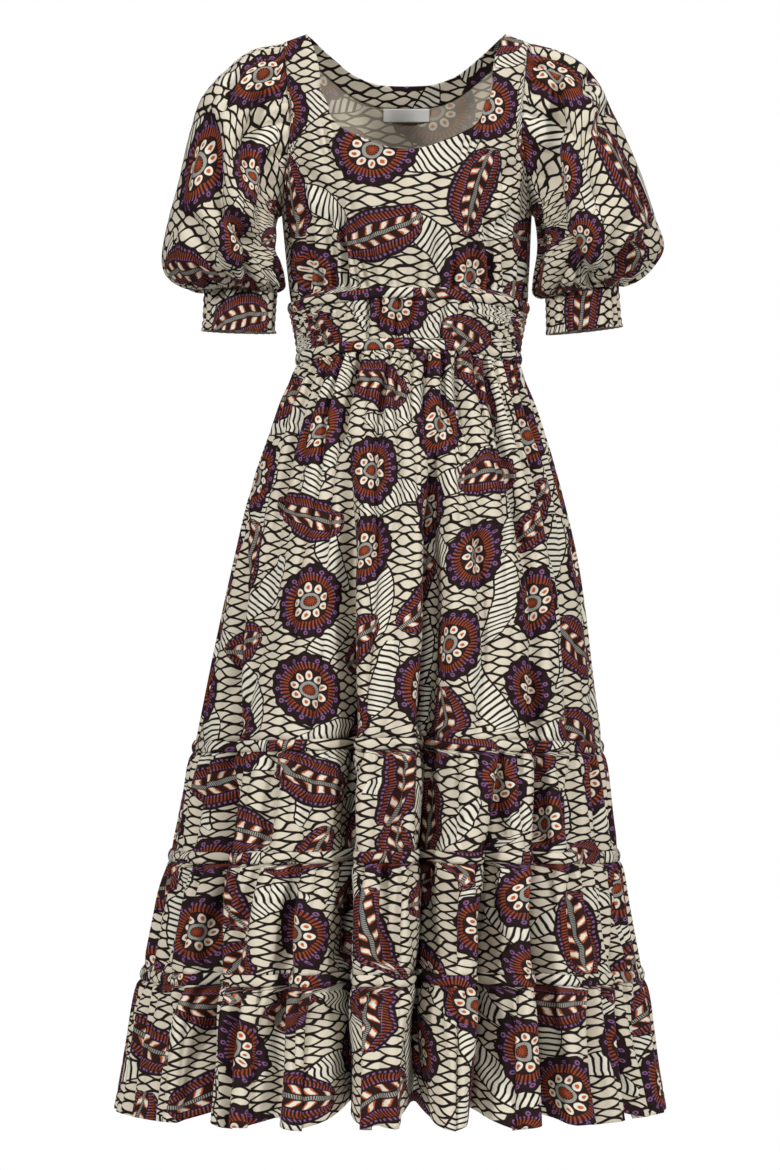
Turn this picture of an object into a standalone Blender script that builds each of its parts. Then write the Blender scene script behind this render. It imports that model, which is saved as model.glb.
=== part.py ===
"""Puff sleeve midi dress, worn shape with no wearer: bodice, shirred waist and four gathered tiers.

Metres, +Z up. The front faces -Y. The origin is midway between the two points where the shoulder
seams meet the neck edge, and the dress hangs down from there. Right and left are the wearer's:
the right sleeve is on -X.
"""
import math

import bmesh
import bpy
import numpy as np
from mathutils import Vector


# Driving dimensions, in metres
CLOTH = 0.0015
FACING_CLOTH = 0.0010
SEAM = 0.0003
TAPE_WIDTH = 0.011
WAIST_TAPE_WIDTH = 0.010
WAIST_TOP = -0.285
WAIST_BOTTOM = -0.350
TIER_TAPES = (-0.7686, -0.8875, -1.0155)
HEM = -1.175
SHOULDER_NECK = 0.109
SHOULDER_ARM = 0.134
SHOULDER_DROP = 0.009
SHOULDER_ROUND = 0.160
FACING_DEPTH = 0.024
FACING_PROUD = 0.0006
LABEL_WIDTH = 0.053
LABEL_HEIGHT = 0.014
LABEL_PROUD = 0.0015

# Columns and rows of the walls
SKIRT_COLUMNS = 68
SKIRT_ROWS = 7
TIER_ROWS = 4
WAIST_COLUMNS = 48
WAIST_ROWS = 3
BODICE_ROWS = 9
FACING_ROWS = 4
LABEL_COLUMNS = 6
ARMHOLE_STRAIGHTS = 12
SLEEVE_COLUMNS = 2 * ARMHOLE_STRAIGHTS  # one for each straight of the armhole, front and back
CUFF_COLUMNS = 16
CUFF_ROWS = 2

# Height of the gathers' waves, in metres
TIER_GATHER = 0.0030
WAIST_GATHER = 0.0016
SLEEVE_GATHER = 0.0030
CUFF_GATHER = 0.0014

# How the large folds deepen towards the hem, and how much a fold's depth lifts the hem
FOLD_GROWTH = 0.7
HEM_LIFT = 0.16

# The gathers fade down a tier: their share at the stitches, their height below and how they fade
STITCHED_SHARE = 0.45
GATHER_SWELL = 1.25
GATHER_FADE = 1.3
WAIST_STITCHED_SHARE = 0.35
ROW_CROWDING = 1.35
BODICE_ROW_CROWDING = 1.4

# Near the shoulder seam the wall's thickness turns from level to straight down
SHOULDER_TURN = 0.35
SEAM_DROP = 1.35
LEAST_DEPTH = 0.020

# Share of a sleeve's gathers that reaches its underside, and their reach from each end in sections
UNDERSIDE_GATHER = 0.35
HEAD_REACH = 1.6
FOOT_REACH = 1.1

CLOTH_ROUGHNESS = 0.85
SHARP_ANGLE = math.radians(50.0)


def table(names, *rows):
    """A table with named columns: one array for each name."""
    return {name: np.array([row[i] for row in rows]) for i, name in enumerate(names.split())}


def rows_of(rows):
    """Each row of a table as a small dictionary."""
    count = len(next(iter(rows.values())))
    return [{name: float(values[i]) for name, values in rows.items()} for i in range(count)]


# The body from the shoulder to the hem: half width, middle, depth before and behind, and how far
# a level seam dips at the sides.
BODY = table(
    "z      half    middle  front  back   dip",
    (0.000, 0.1500, 0.001, 0.094, 0.086, 0.000),
    (-0.060, 0.1490, 0.001, 0.095, 0.087, 0.000),
    (-0.120, 0.1440, 0.001, 0.097, 0.088, 0.000),
    (-0.200, 0.1375, 0.002, 0.098, 0.088, 0.006),
    (-0.285, 0.1310, 0.004, 0.090, 0.082, 0.0125),
    (-0.350, 0.1225, 0.004, 0.088, 0.080, 0.013),
    (-0.4025, 0.1415, 0.002, 0.104, 0.097, 0.012),
    (-0.4686, 0.1645, 0.001, 0.129, 0.120, 0.011),
    (-0.584, 0.1920, 0.000, 0.157, 0.146, 0.010),
    (-0.683, 0.2090, -0.004, 0.178, 0.165, 0.009),
    (-0.782, 0.2250, -0.008, 0.197, 0.182, 0.009),
    (-0.898, 0.2465, -0.012, 0.220, 0.204, 0.009),
    (-1.030, 0.2760, -0.014, 0.246, 0.229, 0.010),
    (-1.190, 0.3060, -0.016, 0.274, 0.254, 0.003),
)

# The skirt's large folds: x where each starts and x at the hem, the height where it starts, and
# its half width and depth at the hem. The first block is on the front, the second on the back.
FRONT_FOLDS = table(
    "top     hem     start   width  depth",
    (-0.170, -0.228, -0.480, 0.026, 0.036),
    (-0.062, -0.078, -0.440, 0.024, 0.056),
    (0.040, 0.019, -0.370, 0.025, 0.050),
    (0.100, 0.088, -0.780, 0.024, 0.042),
    (0.142, 0.160, -0.700, 0.024, 0.028),
    (-0.120, -0.148, -0.860, 0.022, 0.020),
    (-0.004, -0.030, -0.400, 0.030, 0.010),
    (0.215, 0.249, -0.860, 0.022, 0.016),
)
BACK_FOLDS = table(
    "top     hem     start   width  depth",
    (-0.150, -0.215, -0.520, 0.026, 0.034),
    (-0.070, -0.110, -0.420, 0.024, 0.048),
    (-0.010, -0.022, -0.390, 0.024, 0.054),
    (0.060, 0.068, -0.600, 0.022, 0.040),
    (0.110, 0.148, -0.440, 0.026, 0.046),
    (0.200, 0.238, -0.800, 0.022, 0.026),
)

# The armhole and neck edges: distance from the middle and height.
ARMHOLE_FRONT = table(
    "across  z",
    (0.1375, -0.200),
    (0.1360, -0.187),
    (0.1305, -0.152),
    (0.1260, -0.1045),
    (0.1290, -0.057),
    (0.1325, -0.022),
    (SHOULDER_ARM, -SHOULDER_DROP),
)
ARMHOLE_BACK = table(
    "across  z",
    (0.1375, -0.200),
    (0.1362, -0.187),
    (0.1328, -0.152),
    (0.1300, -0.1045),
    (0.1310, -0.057),
    (0.1330, -0.022),
    (SHOULDER_ARM, -SHOULDER_DROP),
)
NECK_FRONT = table(
    "across  z",
    (SHOULDER_NECK, 0.000),
    (0.0970, -0.031),
    (0.0925, -0.068),
    (0.0855, -0.083),
    (0.0820, -0.097),
    (0.0740, -0.108),
    (0.0610, -0.116),
    (0.0420, -0.125),
    (0.0240, -0.132),
    (0.0000, -0.1355),
)
NECK_BACK = table(
    "across  z",
    (SHOULDER_NECK, 0.000),
    (0.1010, -0.006),
    (0.0930, -0.013),
    (0.0780, -0.025),
    (0.0670, -0.0335),
    (0.0570, -0.040),
    (0.0420, -0.046),
    (0.0280, -0.0495),
    (0.0140, -0.0503),
    (0.0000, -0.0506),
)
# Where the columns that end on the armhole and on the neck edge stand at the waist, as shares of
# the half width there.
ARMHOLE_AT_WAIST = (1.00, 0.965, 0.925, 0.855, 0.755, 0.695, 0.640)
NECK_AT_WAIST = (0.590, 0.545, 0.485, 0.425, 0.365, 0.295, 0.220, 0.145, 0.070, 0.00)

# A sleeve's sections, fanned from the armhole round the underarm to the cuff: the outer and the
# inner end of each, and its half depth.
SLEEVE_RIGHT = table(
    "out_x   out_z    in_x    in_z    depth",
    (0.164, -0.018, 0.1390, -0.203, 0.060),
    (0.189, -0.035, 0.1400, -0.207, 0.074),
    (0.210, -0.056, 0.1408, -0.211, 0.085),
    (0.2255, -0.079, 0.1415, -0.216, 0.092),
    (0.2365, -0.1155, 0.1420, -0.222, 0.097),
    (0.2475, -0.165, 0.1425, -0.230, 0.100),
    (0.2585, -0.205, 0.1420, -0.240, 0.099),
    (0.2660, -0.245, 0.1390, -0.253, 0.092),
    (0.2610, -0.266, 0.1345, -0.265, 0.078),
    (0.2420, -0.279, 0.1325, -0.278, 0.058),
    (0.2210, -0.281, 0.1410, -0.2845, 0.036),
)
SLEEVE_LEFT = table(
    "out_x   out_z    in_x    in_z    depth",
    (0.164, -0.019, 0.1425, -0.203, 0.060),
    (0.189, -0.031, 0.1435, -0.207, 0.074),
    (0.2060, -0.047, 0.1445, -0.211, 0.085),
    (0.2190, -0.069, 0.1455, -0.216, 0.092),
    (0.2380, -0.109, 0.1465, -0.223, 0.098),
    (0.2590, -0.158, 0.1475, -0.232, 0.101),
    (0.2740, -0.204, 0.1475, -0.243, 0.100),
    (0.2825, -0.231, 0.1455, -0.257, 0.092),
    (0.2750, -0.249, 0.1430, -0.271, 0.078),
    (0.2560, -0.268, 0.1420, -0.285, 0.058),
    (0.2355, -0.277, 0.1540, -0.2905, 0.036),
)
# A cuff's top and bottom edges: outer end, inner end and half depth.
CUFF_RIGHT = table(
    "out_x   out_z    in_x    in_z    depth",
    (0.2200, -0.2815, 0.1410, -0.2850, 0.033),
    (0.2220, -0.3265, 0.1440, -0.3290, 0.033),
)
CUFF_LEFT = table(
    "out_x   out_z    in_x    in_z    depth",
    (0.2345, -0.2775, 0.1550, -0.2910, 0.033),
    (0.2380, -0.3220, 0.1560, -0.3310, 0.033),
)


def smooth_step(value):
    value = np.clip(value, 0.0, 1.0)
    return value * value * (3.0 - 2.0 * value)


def curve(knots, values, at):
    """A smooth curve through values at rising knots, read at one place."""
    slopes = np.gradient(values, knots)
    at = float(np.clip(at, knots[0], knots[-1]))
    i = int(np.clip(np.searchsorted(knots, at) - 1, 0, len(knots) - 2))
    span = knots[i + 1] - knots[i]
    t = (at - knots[i]) / span
    start = (2 * t ** 3 - 3 * t ** 2 + 1) * values[i] + (t ** 3 - 2 * t ** 2 + t) * span * slopes[i]
    end = (3 * t ** 2 - 2 * t ** 3) * values[i + 1] + (t ** 3 - t ** 2) * span * slopes[i + 1]
    return float(start + end)


def along(rows, column, z):
    """A column of a table at height z, on a smooth curve through its rows."""
    return curve(-rows["z"], rows[column], -z)


# The skirt and the waist

def fold_depth(angle, z, half, middle, mean_radius):
    """How far the large folds push the wall in at this angle and height."""
    folds = FRONT_FOLDS if math.sin(angle) < 0.0 else BACK_FOLDS
    side = -1.0 if math.sin(angle) < 0.0 else 1.0
    total = 0.0
    for fold in rows_of(folds):
        share = (fold["start"] - z) / (fold["start"] - HEM)
        if share <= 0.0:
            continue
        x = fold["top"] + (fold["hem"] - fold["top"]) * share
        place = side * math.acos(max(-1.0, min(1.0, (x - middle) / half)))
        gap = math.atan2(math.sin(angle - place), math.cos(angle - place)) * mean_radius
        growth = smooth_step(share) ** FOLD_GROWTH
        total += fold["depth"] * growth * math.exp(-(gap / fold["width"]) ** 2)
    return total


def body_point(angle, z):
    """A point of the body's outer face, folds included, and the fold's depth there."""
    half = along(BODY, "half", z)
    middle = along(BODY, "middle", z)
    depth = along(BODY, "front" if math.sin(angle) < 0.0 else "back", z)
    level = z - along(BODY, "dip", z) * math.cos(angle) ** 2
    push = fold_depth(angle, z, half, middle, 0.5 * (half + depth)) if z < WAIST_BOTTOM else 0.0
    inward = Vector((-math.cos(angle) / half, -math.sin(angle) / depth, 0.0)).normalized()
    return Vector((middle + half * math.cos(angle), depth * math.sin(angle), level)) + inward * push, push


def body_inward(angle, z):
    """The level direction into the body at this angle, square to the folded wall."""
    step = 0.004
    before, _ = body_point(angle - step, z)
    after, _ = body_point(angle + step, z)
    run = after - before
    return Vector((-run.y, run.x, 0.0)).normalized()


def wall_cell(bm, near, far):
    """Two triangles on each face of the wall, split along the same diagonal, the nearer's shorter."""
    first = 0 if (near[0].co - near[2].co).length < (near[1].co - near[3].co).length else 1
    a, b, c, d = ((first + k) % 4 for k in range(4))
    for corners in ((a, b, c), (a, c, d)):
        bm.faces.new([near[k] for k in corners])
        bm.faces.new([far[k] for k in reversed(corners)])


def grid_wall(name, outer, inner, closed, colour):
    """A closed wall lofted between an outer and an inner grid of points."""
    mesh = bpy.data.meshes.new(name)
    bm = bmesh.new()
    out = [[bm.verts.new(point) for point in row] for row in outer]
    back = [[bm.verts.new(point) for point in row] for row in inner]
    rows = len(out)
    columns = len(out[0])
    spans = columns if closed else columns - 1
    for r in range(rows - 1):
        for c in range(spans):
            d = (c + 1) % columns
            wall_cell(bm, (out[r][c], out[r + 1][c], out[r + 1][d], out[r][d]),
                      (back[r][c], back[r + 1][c], back[r + 1][d], back[r][d]))
    for c in range(spans):
        d = (c + 1) % columns
        bm.faces.new((out[0][c], out[0][d], back[0][d], back[0][c]))
        bm.faces.new((out[-1][d], out[-1][c], back[-1][c], back[-1][d]))
    if not closed:
        for r in range(rows - 1):
            bm.faces.new((out[r + 1][0], out[r][0], back[r][0], back[r + 1][0]))
            bm.faces.new((out[r][-1], out[r + 1][-1], back[r + 1][-1], back[r][-1]))
    bmesh.ops.recalc_face_normals(bm, faces=bm.faces[:])
    bm.to_mesh(mesh)
    bm.free()
    mesh.shade_smooth()
    mesh.set_sharp_from_angle(angle=SHARP_ANGLE)
    piece = bpy.data.objects.new(name, mesh)
    DRESS.objects.link(piece)
    mesh.materials.append(cloth_material(name, colour))
    return piece


def cloth_material(name, colour):
    material = bpy.data.materials.new(name + "_cloth")
    material.use_nodes = True
    shader = material.node_tree.nodes["Principled BSDF"]
    shader.inputs["Base Color"].default_value = (*colour, 1.0)
    shader.inputs["Roughness"].default_value = CLOTH_ROUGHNESS
    shader.inputs["Metallic"].default_value = 0.0
    return material


def ring_angles(columns, part):
    """Angles of the columns: all round, or the front or the back half between the side seams."""
    if part == "ring":
        return [2.0 * math.pi * c / columns for c in range(columns)]
    start = math.pi if part == "front" else 0.0
    return [start + math.pi * c / (columns // 2) for c in range(columns // 2 + 1)]


def body_wall(name, part, heights, columns, colour, gather):
    """A stretch of the waist or skirt: a level row at each height, waved by gather(row)."""
    outer = []
    inner = []
    for r, z in enumerate(heights):
        out_row = []
        in_row = []
        for c, angle in enumerate(ring_angles(columns, part)):
            point, push = body_point(angle, z)
            inward = body_inward(angle, z)
            wave = gather(r, len(heights)) * (1.0 if c % 2 else -1.0)
            at_side = part != "ring" and abs(math.sin(angle)) < 1e-6
            if at_side:
                wave = 0.0
                point.y += SEAM / 2.0 * (-1.0 if part == "front" else 1.0)
                inward = Vector((math.copysign(1.0, -math.cos(angle)), 0.0, 0.0))
            if z == HEM:
                point.z += HEM_LIFT * push
            out_row.append(point - inward * wave)
            in_row.append(point + inward * (CLOTH - wave))
        outer.append(out_row)
        inner.append(in_row)
    return grid_wall(name, outer, inner, part == "ring", colour)


def spaced(top, bottom, rows, power=1.0):
    """Heights from top to bottom, closer together near the top when power is over 1."""
    return [top + (bottom - top) * (r / rows) ** power for r in range(rows + 1)]


def no_gather(row, rows):
    return 0.0


def tier_gather(row, rows):
    """Gathers held by the seam above: flat at the stitches, full just below, and falling out."""
    if row == 0:
        return TIER_GATHER * STITCHED_SHARE
    return TIER_GATHER * GATHER_SWELL * (1.0 - row / (rows - 1)) ** GATHER_FADE


def waist_gather(row, rows):
    return WAIST_GATHER * (WAIST_STITCHED_SHARE if row in (0, rows - 1) else 1.0)


def make_waist():
    tape_bottom = WAIST_TOP - WAIST_TAPE_WIDTH
    lower_top = WAIST_BOTTOM + TAPE_WIDTH
    body_wall("waist_tape_upper", "ring", [WAIST_TOP, tape_bottom], WAIST_COLUMNS, TAPE_COLOUR, no_gather)
    body_wall("waist_tape_lower", "ring", [lower_top, WAIST_BOTTOM], WAIST_COLUMNS, TAPE_COLOUR, no_gather)
    for part in ("front", "back"):
        heights = spaced(tape_bottom - SEAM, lower_top + SEAM, WAIST_ROWS)
        body_wall("waist_panel_" + part, part, heights, WAIST_COLUMNS, PRINT_COLOUR, waist_gather)


def make_skirt():
    bands = [WAIST_BOTTOM] + [top - TAPE_WIDTH for top in TIER_TAPES]
    ends = list(TIER_TAPES) + [HEM]
    for number, (top, bottom) in enumerate(zip(bands, ends), start=1):
        rows = SKIRT_ROWS if number == 1 else TIER_ROWS
        last = HEM if bottom == HEM else bottom + SEAM
        heights = spaced(top - SEAM, last, rows, ROW_CROWDING)
        for part in ("front", "back"):
            body_wall(f"skirt_tier_{number}_{part}", part, heights, SKIRT_COLUMNS, PRINT_COLOUR, tier_gather)
    for number, top in enumerate(TIER_TAPES, start=1):
        heights = [top, top - TAPE_WIDTH]
        body_wall(f"tier_tape_{number}", "ring", heights, SKIRT_COLUMNS, TAPE_COLOUR, no_gather)


# The bodice

def shoulder_height(across):
    """Height of the shoulder seam at a distance from the middle."""
    past = (abs(across) - SHOULDER_NECK) / (SHOULDER_ARM - SHOULDER_NECK)
    return -SHOULDER_DROP * max(0.0, past)


def bodice_point(share, z, side):
    """A point on the bodice's outer face, at a share of the half width, with its way inwards."""
    half = along(BODY, "half", z)
    across = share * half
    below = max(0.0, shoulder_height(across) - z) / SHOULDER_ROUND
    round_off = math.sqrt(max(0.0, 1.0 - (1.0 - min(below, 1.0)) ** 2))
    depth = along(BODY, side, z) * round_off
    turn = math.sqrt(max(0.0, 1.0 - share * share))
    sign = -1.0 if side == "front" else 1.0
    point = Vector((along(BODY, "middle", z) + across, sign * depth * turn, z))
    level = Vector((-share / half, -sign * turn / max(depth, LEAST_DEPTH), 0.0)).normalized()
    fall = math.sqrt(1.0 - min(below / SHOULDER_TURN, 1.0))
    if below == 0.0:
        return point, Vector((0.0, 0.0, -SEAM_DROP))
    return point, (level * (1.0 - fall) + Vector((0.0, 0.0, -fall))).normalized()


def bodice_columns(armhole, neck):
    """Columns from side seam to side seam: share at the waist, and share and height at the top."""
    half_side = []
    knots = np.arange(len(ARMHOLE_AT_WAIST))
    for place in np.linspace(0.0, knots[-1], ARMHOLE_STRAIGHTS + 1):
        share = curve(knots, np.array(ARMHOLE_AT_WAIST), place)
        across = curve(knots, armhole["across"], place)
        z = curve(knots, armhole["z"], place)
        half_side.append((share, min(1.0, across / along(BODY, "half", z)), z))
    for share, across, z in zip(NECK_AT_WAIST, neck["across"], neck["z"]):
        half_side.append((share, across / along(BODY, "half", z), z))
    mirrored = [(-waist, -top, z) for waist, top, z in half_side[:-1]]
    return mirrored + half_side[::-1]


def make_bodice(side, armhole, neck):
    outer = []
    inner = []
    sign = -1.0 if side == "front" else 1.0
    bottom = WAIST_TOP + SEAM
    columns = bodice_columns(armhole, neck)
    for r in range(BODICE_ROWS + 1):
        t = 1.0 - (1.0 - r / BODICE_ROWS) ** BODICE_ROW_CROWDING
        out_row = []
        in_row = []
        for waist, top, top_z in columns:
            share = waist + (top - waist) * t
            waist_z = bottom - along(BODY, "dip", bottom) * waist * waist
            z = waist_z + (top_z - waist_z) * t
            point, inward = bodice_point(share, z, side)
            if abs(share) > 0.9999 or point.y == 0.0:
                point.y = sign * SEAM / 2.0
            if abs(share) > 0.9999:
                inward = Vector((-math.copysign(1.0, share), 0.0, 0.0))
            out_row.append(point)
            in_row.append(point + inward * CLOTH)
        outer.append(out_row)
        inner.append(in_row)
    grid_wall("bodice_" + side, outer, inner, False, PRINT_COLOUR)
    return outer[-1], inner


def inside_back(across, z, proud, thickness):
    """Two points inside the back, the nearer and the farther face of what lies on it."""
    point, inward = bodice_point(across / along(BODY, "half", z), z, "back")
    return point + inward * (CLOTH + proud), point + inward * (CLOTH + proud + thickness)


def down_column(column, z):
    """The point at height z on a panel's column, given from its lower end to its upper."""
    for low, high in zip(column, column[1:]):
        if low.z <= z <= high.z:
            return low.lerp(high, (z - low.z) / (high.z - low.z))
    return column[-1].copy()


def make_neck_facing(back_inner):
    """The back neck facing, on the inside of the back, from just short of each shoulder seam."""
    first = ARMHOLE_STRAIGHTS + 2
    near = []
    far = []
    for r in range(FACING_ROWS + 1):
        near_row = []
        far_row = []
        for c in range(first, len(back_inner[0]) - first):
            column = [row[c] for row in back_inner]
            z = column[-1].z - FACING_DEPTH * r / FACING_ROWS
            point = down_column(column, z)
            _, inward = bodice_point(point.x / along(BODY, "half", z), z, "back")
            near_row.append(point + inward * FACING_PROUD)
            far_row.append(point + inward * (FACING_PROUD + FACING_CLOTH))
        near.append(near_row)
        far.append(far_row)
    grid_wall("neck_facing_back", near, far, False, FACING_COLOUR)
    return min(point.z for point in near[-1] + far[-1])


def make_label(facing_bottom):
    """The bare label that hangs from the facing's lower edge."""
    top = facing_bottom - SEAM
    near = []
    far = []
    for z in (top, top - LABEL_HEIGHT):
        places = [LABEL_WIDTH * (c / LABEL_COLUMNS - 0.5) for c in range(LABEL_COLUMNS + 1)]
        pairs = [inside_back(x, z, LABEL_PROUD, FACING_CLOTH) for x in places]
        near.append([pair[0] for pair in pairs])
        far.append([pair[1] for pair in pairs])
    grid_wall("label", near, far, False, LABEL_COLOUR)


# The sleeves

def armhole_ring(sign, front_top, back_top):
    """The armhole's edge as a ring, from the shoulder over the front to the underarm and back."""
    count = ARMHOLE_STRAIGHTS + 1
    front = front_top[:count] if sign < 0.0 else front_top[:-count - 1:-1]
    back = back_top[:count] if sign < 0.0 else back_top[:-count - 1:-1]
    ring = front[:0:-1] + [front[0]] + back[1:-1]
    ring[0] = (front[-1] + back[-1]) / 2.0
    ring[count - 1] = (front[0] + back[0]) / 2.0
    return [point + Vector((sign * SEAM, 0.0, 0.0)) for point in ring]


def section_ring(row, sign, columns):
    """An oval section between the outer and the inner end of a row."""
    out_end = Vector((sign * row["out_x"], 0.0, row["out_z"]))
    in_end = Vector((sign * row["in_x"], 0.0, row["in_z"]))
    centre = (out_end + in_end) / 2.0
    reach = (out_end - in_end) / 2.0
    ring = []
    for c in range(columns):
        turn = 2.0 * math.pi * c / columns
        ring.append(centre + reach * math.cos(turn) - Vector((0.0, row["depth"] * math.sin(turn), 0.0)))
    return ring


def rings_wall(name, rings, waves, colour):
    """A tube wall through rings, each waved in and out along its own radius."""
    outer = []
    inner = []
    for ring, wave in zip(rings, waves):
        centre = sum(ring, Vector()) / len(ring)
        out_row = []
        in_row = []
        for c, point in enumerate(ring):
            inward = (centre - point).normalized()
            upper = (1.0 + math.cos(2.0 * math.pi * c / len(ring))) / 2.0
            share = UNDERSIDE_GATHER + (1.0 - UNDERSIDE_GATHER) * upper
            shift = wave * share * (1.0 if c % 2 else -1.0)
            out_row.append(point - inward * shift)
            in_row.append(point + inward * (CLOTH - shift))
        outer.append(out_row)
        inner.append(in_row)
    return grid_wall(name, outer, inner, True, colour)


def make_sleeve(name, sections, sign, front_top, back_top):
    rings = [armhole_ring(sign, front_top, back_top)]
    rings += [section_ring(row, sign, SLEEVE_COLUMNS) for row in rows_of(sections)]
    last = len(rings) - 1
    waves = []
    for r in range(len(rings)):
        head = math.exp(-((r - 1) / HEAD_REACH) ** 2)
        foot = math.exp(-((r - last + 1) / FOOT_REACH) ** 2)
        waves.append(0.0 if r in (0, last) else SLEEVE_GATHER * max(head, foot))
    rings_wall(name, rings, waves, PRINT_COLOUR)


def make_cuff(name, edges, sign):
    top, bottom = rows_of(edges)
    rings = []
    for r in range(CUFF_ROWS + 1):
        t = r / CUFF_ROWS
        row = {key: top[key] + (bottom[key] - top[key]) * t for key in top}
        rings.append(section_ring(row, sign, CUFF_COLUMNS))
    for point in rings[0]:
        point.z -= SEAM
    rings_wall(name, rings, [CUFF_GATHER] * len(rings), PRINT_COLOUR)


for old in list(bpy.data.objects):
    bpy.data.objects.remove(old, do_unlink=True)

DRESS = bpy.data.collections.new("puff_sleeve_midi_dress")
bpy.context.scene.collection.children.link(DRESS)
PRINT_COLOUR = (0.55, 0.46, 0.38)
TAPE_COLOUR = (0.48, 0.40, 0.33)
FACING_COLOUR = (0.52, 0.43, 0.36)
LABEL_COLOUR = (0.90, 0.89, 0.86)

front_edge, _ = make_bodice("front", ARMHOLE_FRONT, NECK_FRONT)
back_edge, back_inside = make_bodice("back", ARMHOLE_BACK, NECK_BACK)
make_label(make_neck_facing(back_inside))
make_sleeve("sleeve_right", SLEEVE_RIGHT, -1.0, front_edge, back_edge)
make_sleeve("sleeve_left", SLEEVE_LEFT, 1.0, front_edge, back_edge)
make_cuff("cuff_right", CUFF_RIGHT, -1.0)
make_cuff("cuff_left", CUFF_LEFT, 1.0)
make_waist()
make_skirt()
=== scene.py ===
# %% [markdown]
# # A puff sleeve midi dress
# The imported model gives the dress its solid walls. This script dresses each wall in printed cotton:
# a thin sheet on the same form, with the gathers, creases, seams and shirring that are too fine
# for the solids. We start by loading the frame.

# %% Load the frame
import math

import bpy
import numpy as np
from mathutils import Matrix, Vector


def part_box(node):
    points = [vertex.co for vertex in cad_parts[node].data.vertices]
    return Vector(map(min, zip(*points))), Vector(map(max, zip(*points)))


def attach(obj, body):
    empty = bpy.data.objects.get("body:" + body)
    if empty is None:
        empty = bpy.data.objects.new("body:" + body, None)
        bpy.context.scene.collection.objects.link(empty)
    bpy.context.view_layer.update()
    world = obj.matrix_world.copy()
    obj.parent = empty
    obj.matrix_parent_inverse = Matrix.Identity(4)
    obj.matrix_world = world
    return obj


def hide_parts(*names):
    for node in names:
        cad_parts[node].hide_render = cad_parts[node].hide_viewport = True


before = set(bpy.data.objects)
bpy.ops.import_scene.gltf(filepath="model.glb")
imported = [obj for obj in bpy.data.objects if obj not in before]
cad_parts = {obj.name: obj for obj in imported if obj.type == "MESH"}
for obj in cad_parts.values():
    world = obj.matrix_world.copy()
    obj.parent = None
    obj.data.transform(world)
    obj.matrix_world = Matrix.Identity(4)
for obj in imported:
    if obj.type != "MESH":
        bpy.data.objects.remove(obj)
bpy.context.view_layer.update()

# %% [markdown]
# ## Camera
# The photo looks straight at the front from far away, level with the middle of the skirt. A long
# lens at five metres gives the same flat view. The frame of the picture is 1.287 m tall there.

# %% Camera
PICTURE_HEIGHT = 1170
PIXEL = 0.0011
CAMERA_DISTANCE = 5.0
CAMERA_X = -0.0165
CAMERA_Z = -0.606
SENSOR = 36.0


def placed(name, data):
    """A new object in the scene."""
    made = bpy.data.objects.new(name, data)
    bpy.context.scene.collection.objects.link(made)
    return made


camera_data = bpy.data.cameras.new("camera")
camera = placed("camera", camera_data)
camera.location = (CAMERA_X, -CAMERA_DISTANCE, CAMERA_Z)
camera.rotation_euler = (math.radians(90.0), 0.0, 0.0)
camera_data.sensor_width = SENSOR
camera_data.sensor_fit = "AUTO"
camera_data.lens = SENSOR * CAMERA_DISTANCE / (PICTURE_HEIGHT * PIXEL)
bpy.context.scene.camera = camera
print("lens", round(camera_data.lens, 1), "mm")

# %% [markdown]
# ## The dress in numbers
# These are the same tables as in the solid model, in metres: the body's half width, depth and
# the dip of a level seam at each height, the skirt's large folds, and the armhole and neck edges.
# Keeping them as tables means every piece below reads its place from one source. The numbers named
# FOLD and HEM_LIFT shape the folds here, where cloth can be sharper than the solids.

# %% Tables
CLOTH = 0.0007
TAPE_WIDTH = 0.011
WAIST_TAPE_WIDTH = 0.010
WAIST_TOP = -0.285
WAIST_BOTTOM = -0.350
TIER_TAPES = (-0.7686, -0.8875, -1.0155)
HEM = -1.175
SHOULDER_NECK = 0.109
SHOULDER_ARM = 0.134
SHOULDER_DROP = 0.009
SHOULDER_ROUND = 0.160
FACING_DEPTH = 0.024
FOLD_GROWTH = 0.42
FOLD_DEEPER = 1.55
FOLD_NARROW = 0.60
FOLD_CREASE = 0.007
HEM_LIFT = 0.22


def table(names, *rows):
    """A table with named columns: one array for each name."""
    return {name: np.array([row[i] for row in rows]) for i, name in enumerate(names.split())}


def rows_of(rows):
    """Each row of a table as a small dictionary."""
    count = len(next(iter(rows.values())))
    return [{name: float(values[i]) for name, values in rows.items()} for i in range(count)]


BODY = table(
    "z      half    middle  front  back   dip",
    (0.000, 0.1500, 0.001, 0.094, 0.086, 0.000),
    (-0.060, 0.1490, 0.001, 0.095, 0.087, 0.000),
    (-0.120, 0.1440, 0.001, 0.097, 0.088, 0.000),
    (-0.200, 0.1375, 0.002, 0.098, 0.088, 0.006),
    (-0.285, 0.1310, 0.004, 0.090, 0.082, 0.0125),
    (-0.350, 0.1225, 0.004, 0.088, 0.080, 0.013),
    (-0.4025, 0.1415, 0.002, 0.104, 0.097, 0.012),
    (-0.4686, 0.1645, 0.001, 0.129, 0.120, 0.011),
    (-0.584, 0.1920, 0.000, 0.157, 0.146, 0.010),
    (-0.683, 0.2090, -0.004, 0.178, 0.165, 0.009),
    (-0.782, 0.2250, -0.008, 0.197, 0.182, 0.009),
    (-0.898, 0.2465, -0.012, 0.220, 0.204, 0.009),
    (-1.030, 0.2760, -0.014, 0.246, 0.229, 0.010),
    (-1.190, 0.3060, -0.016, 0.274, 0.254, 0.003),
)
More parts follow.
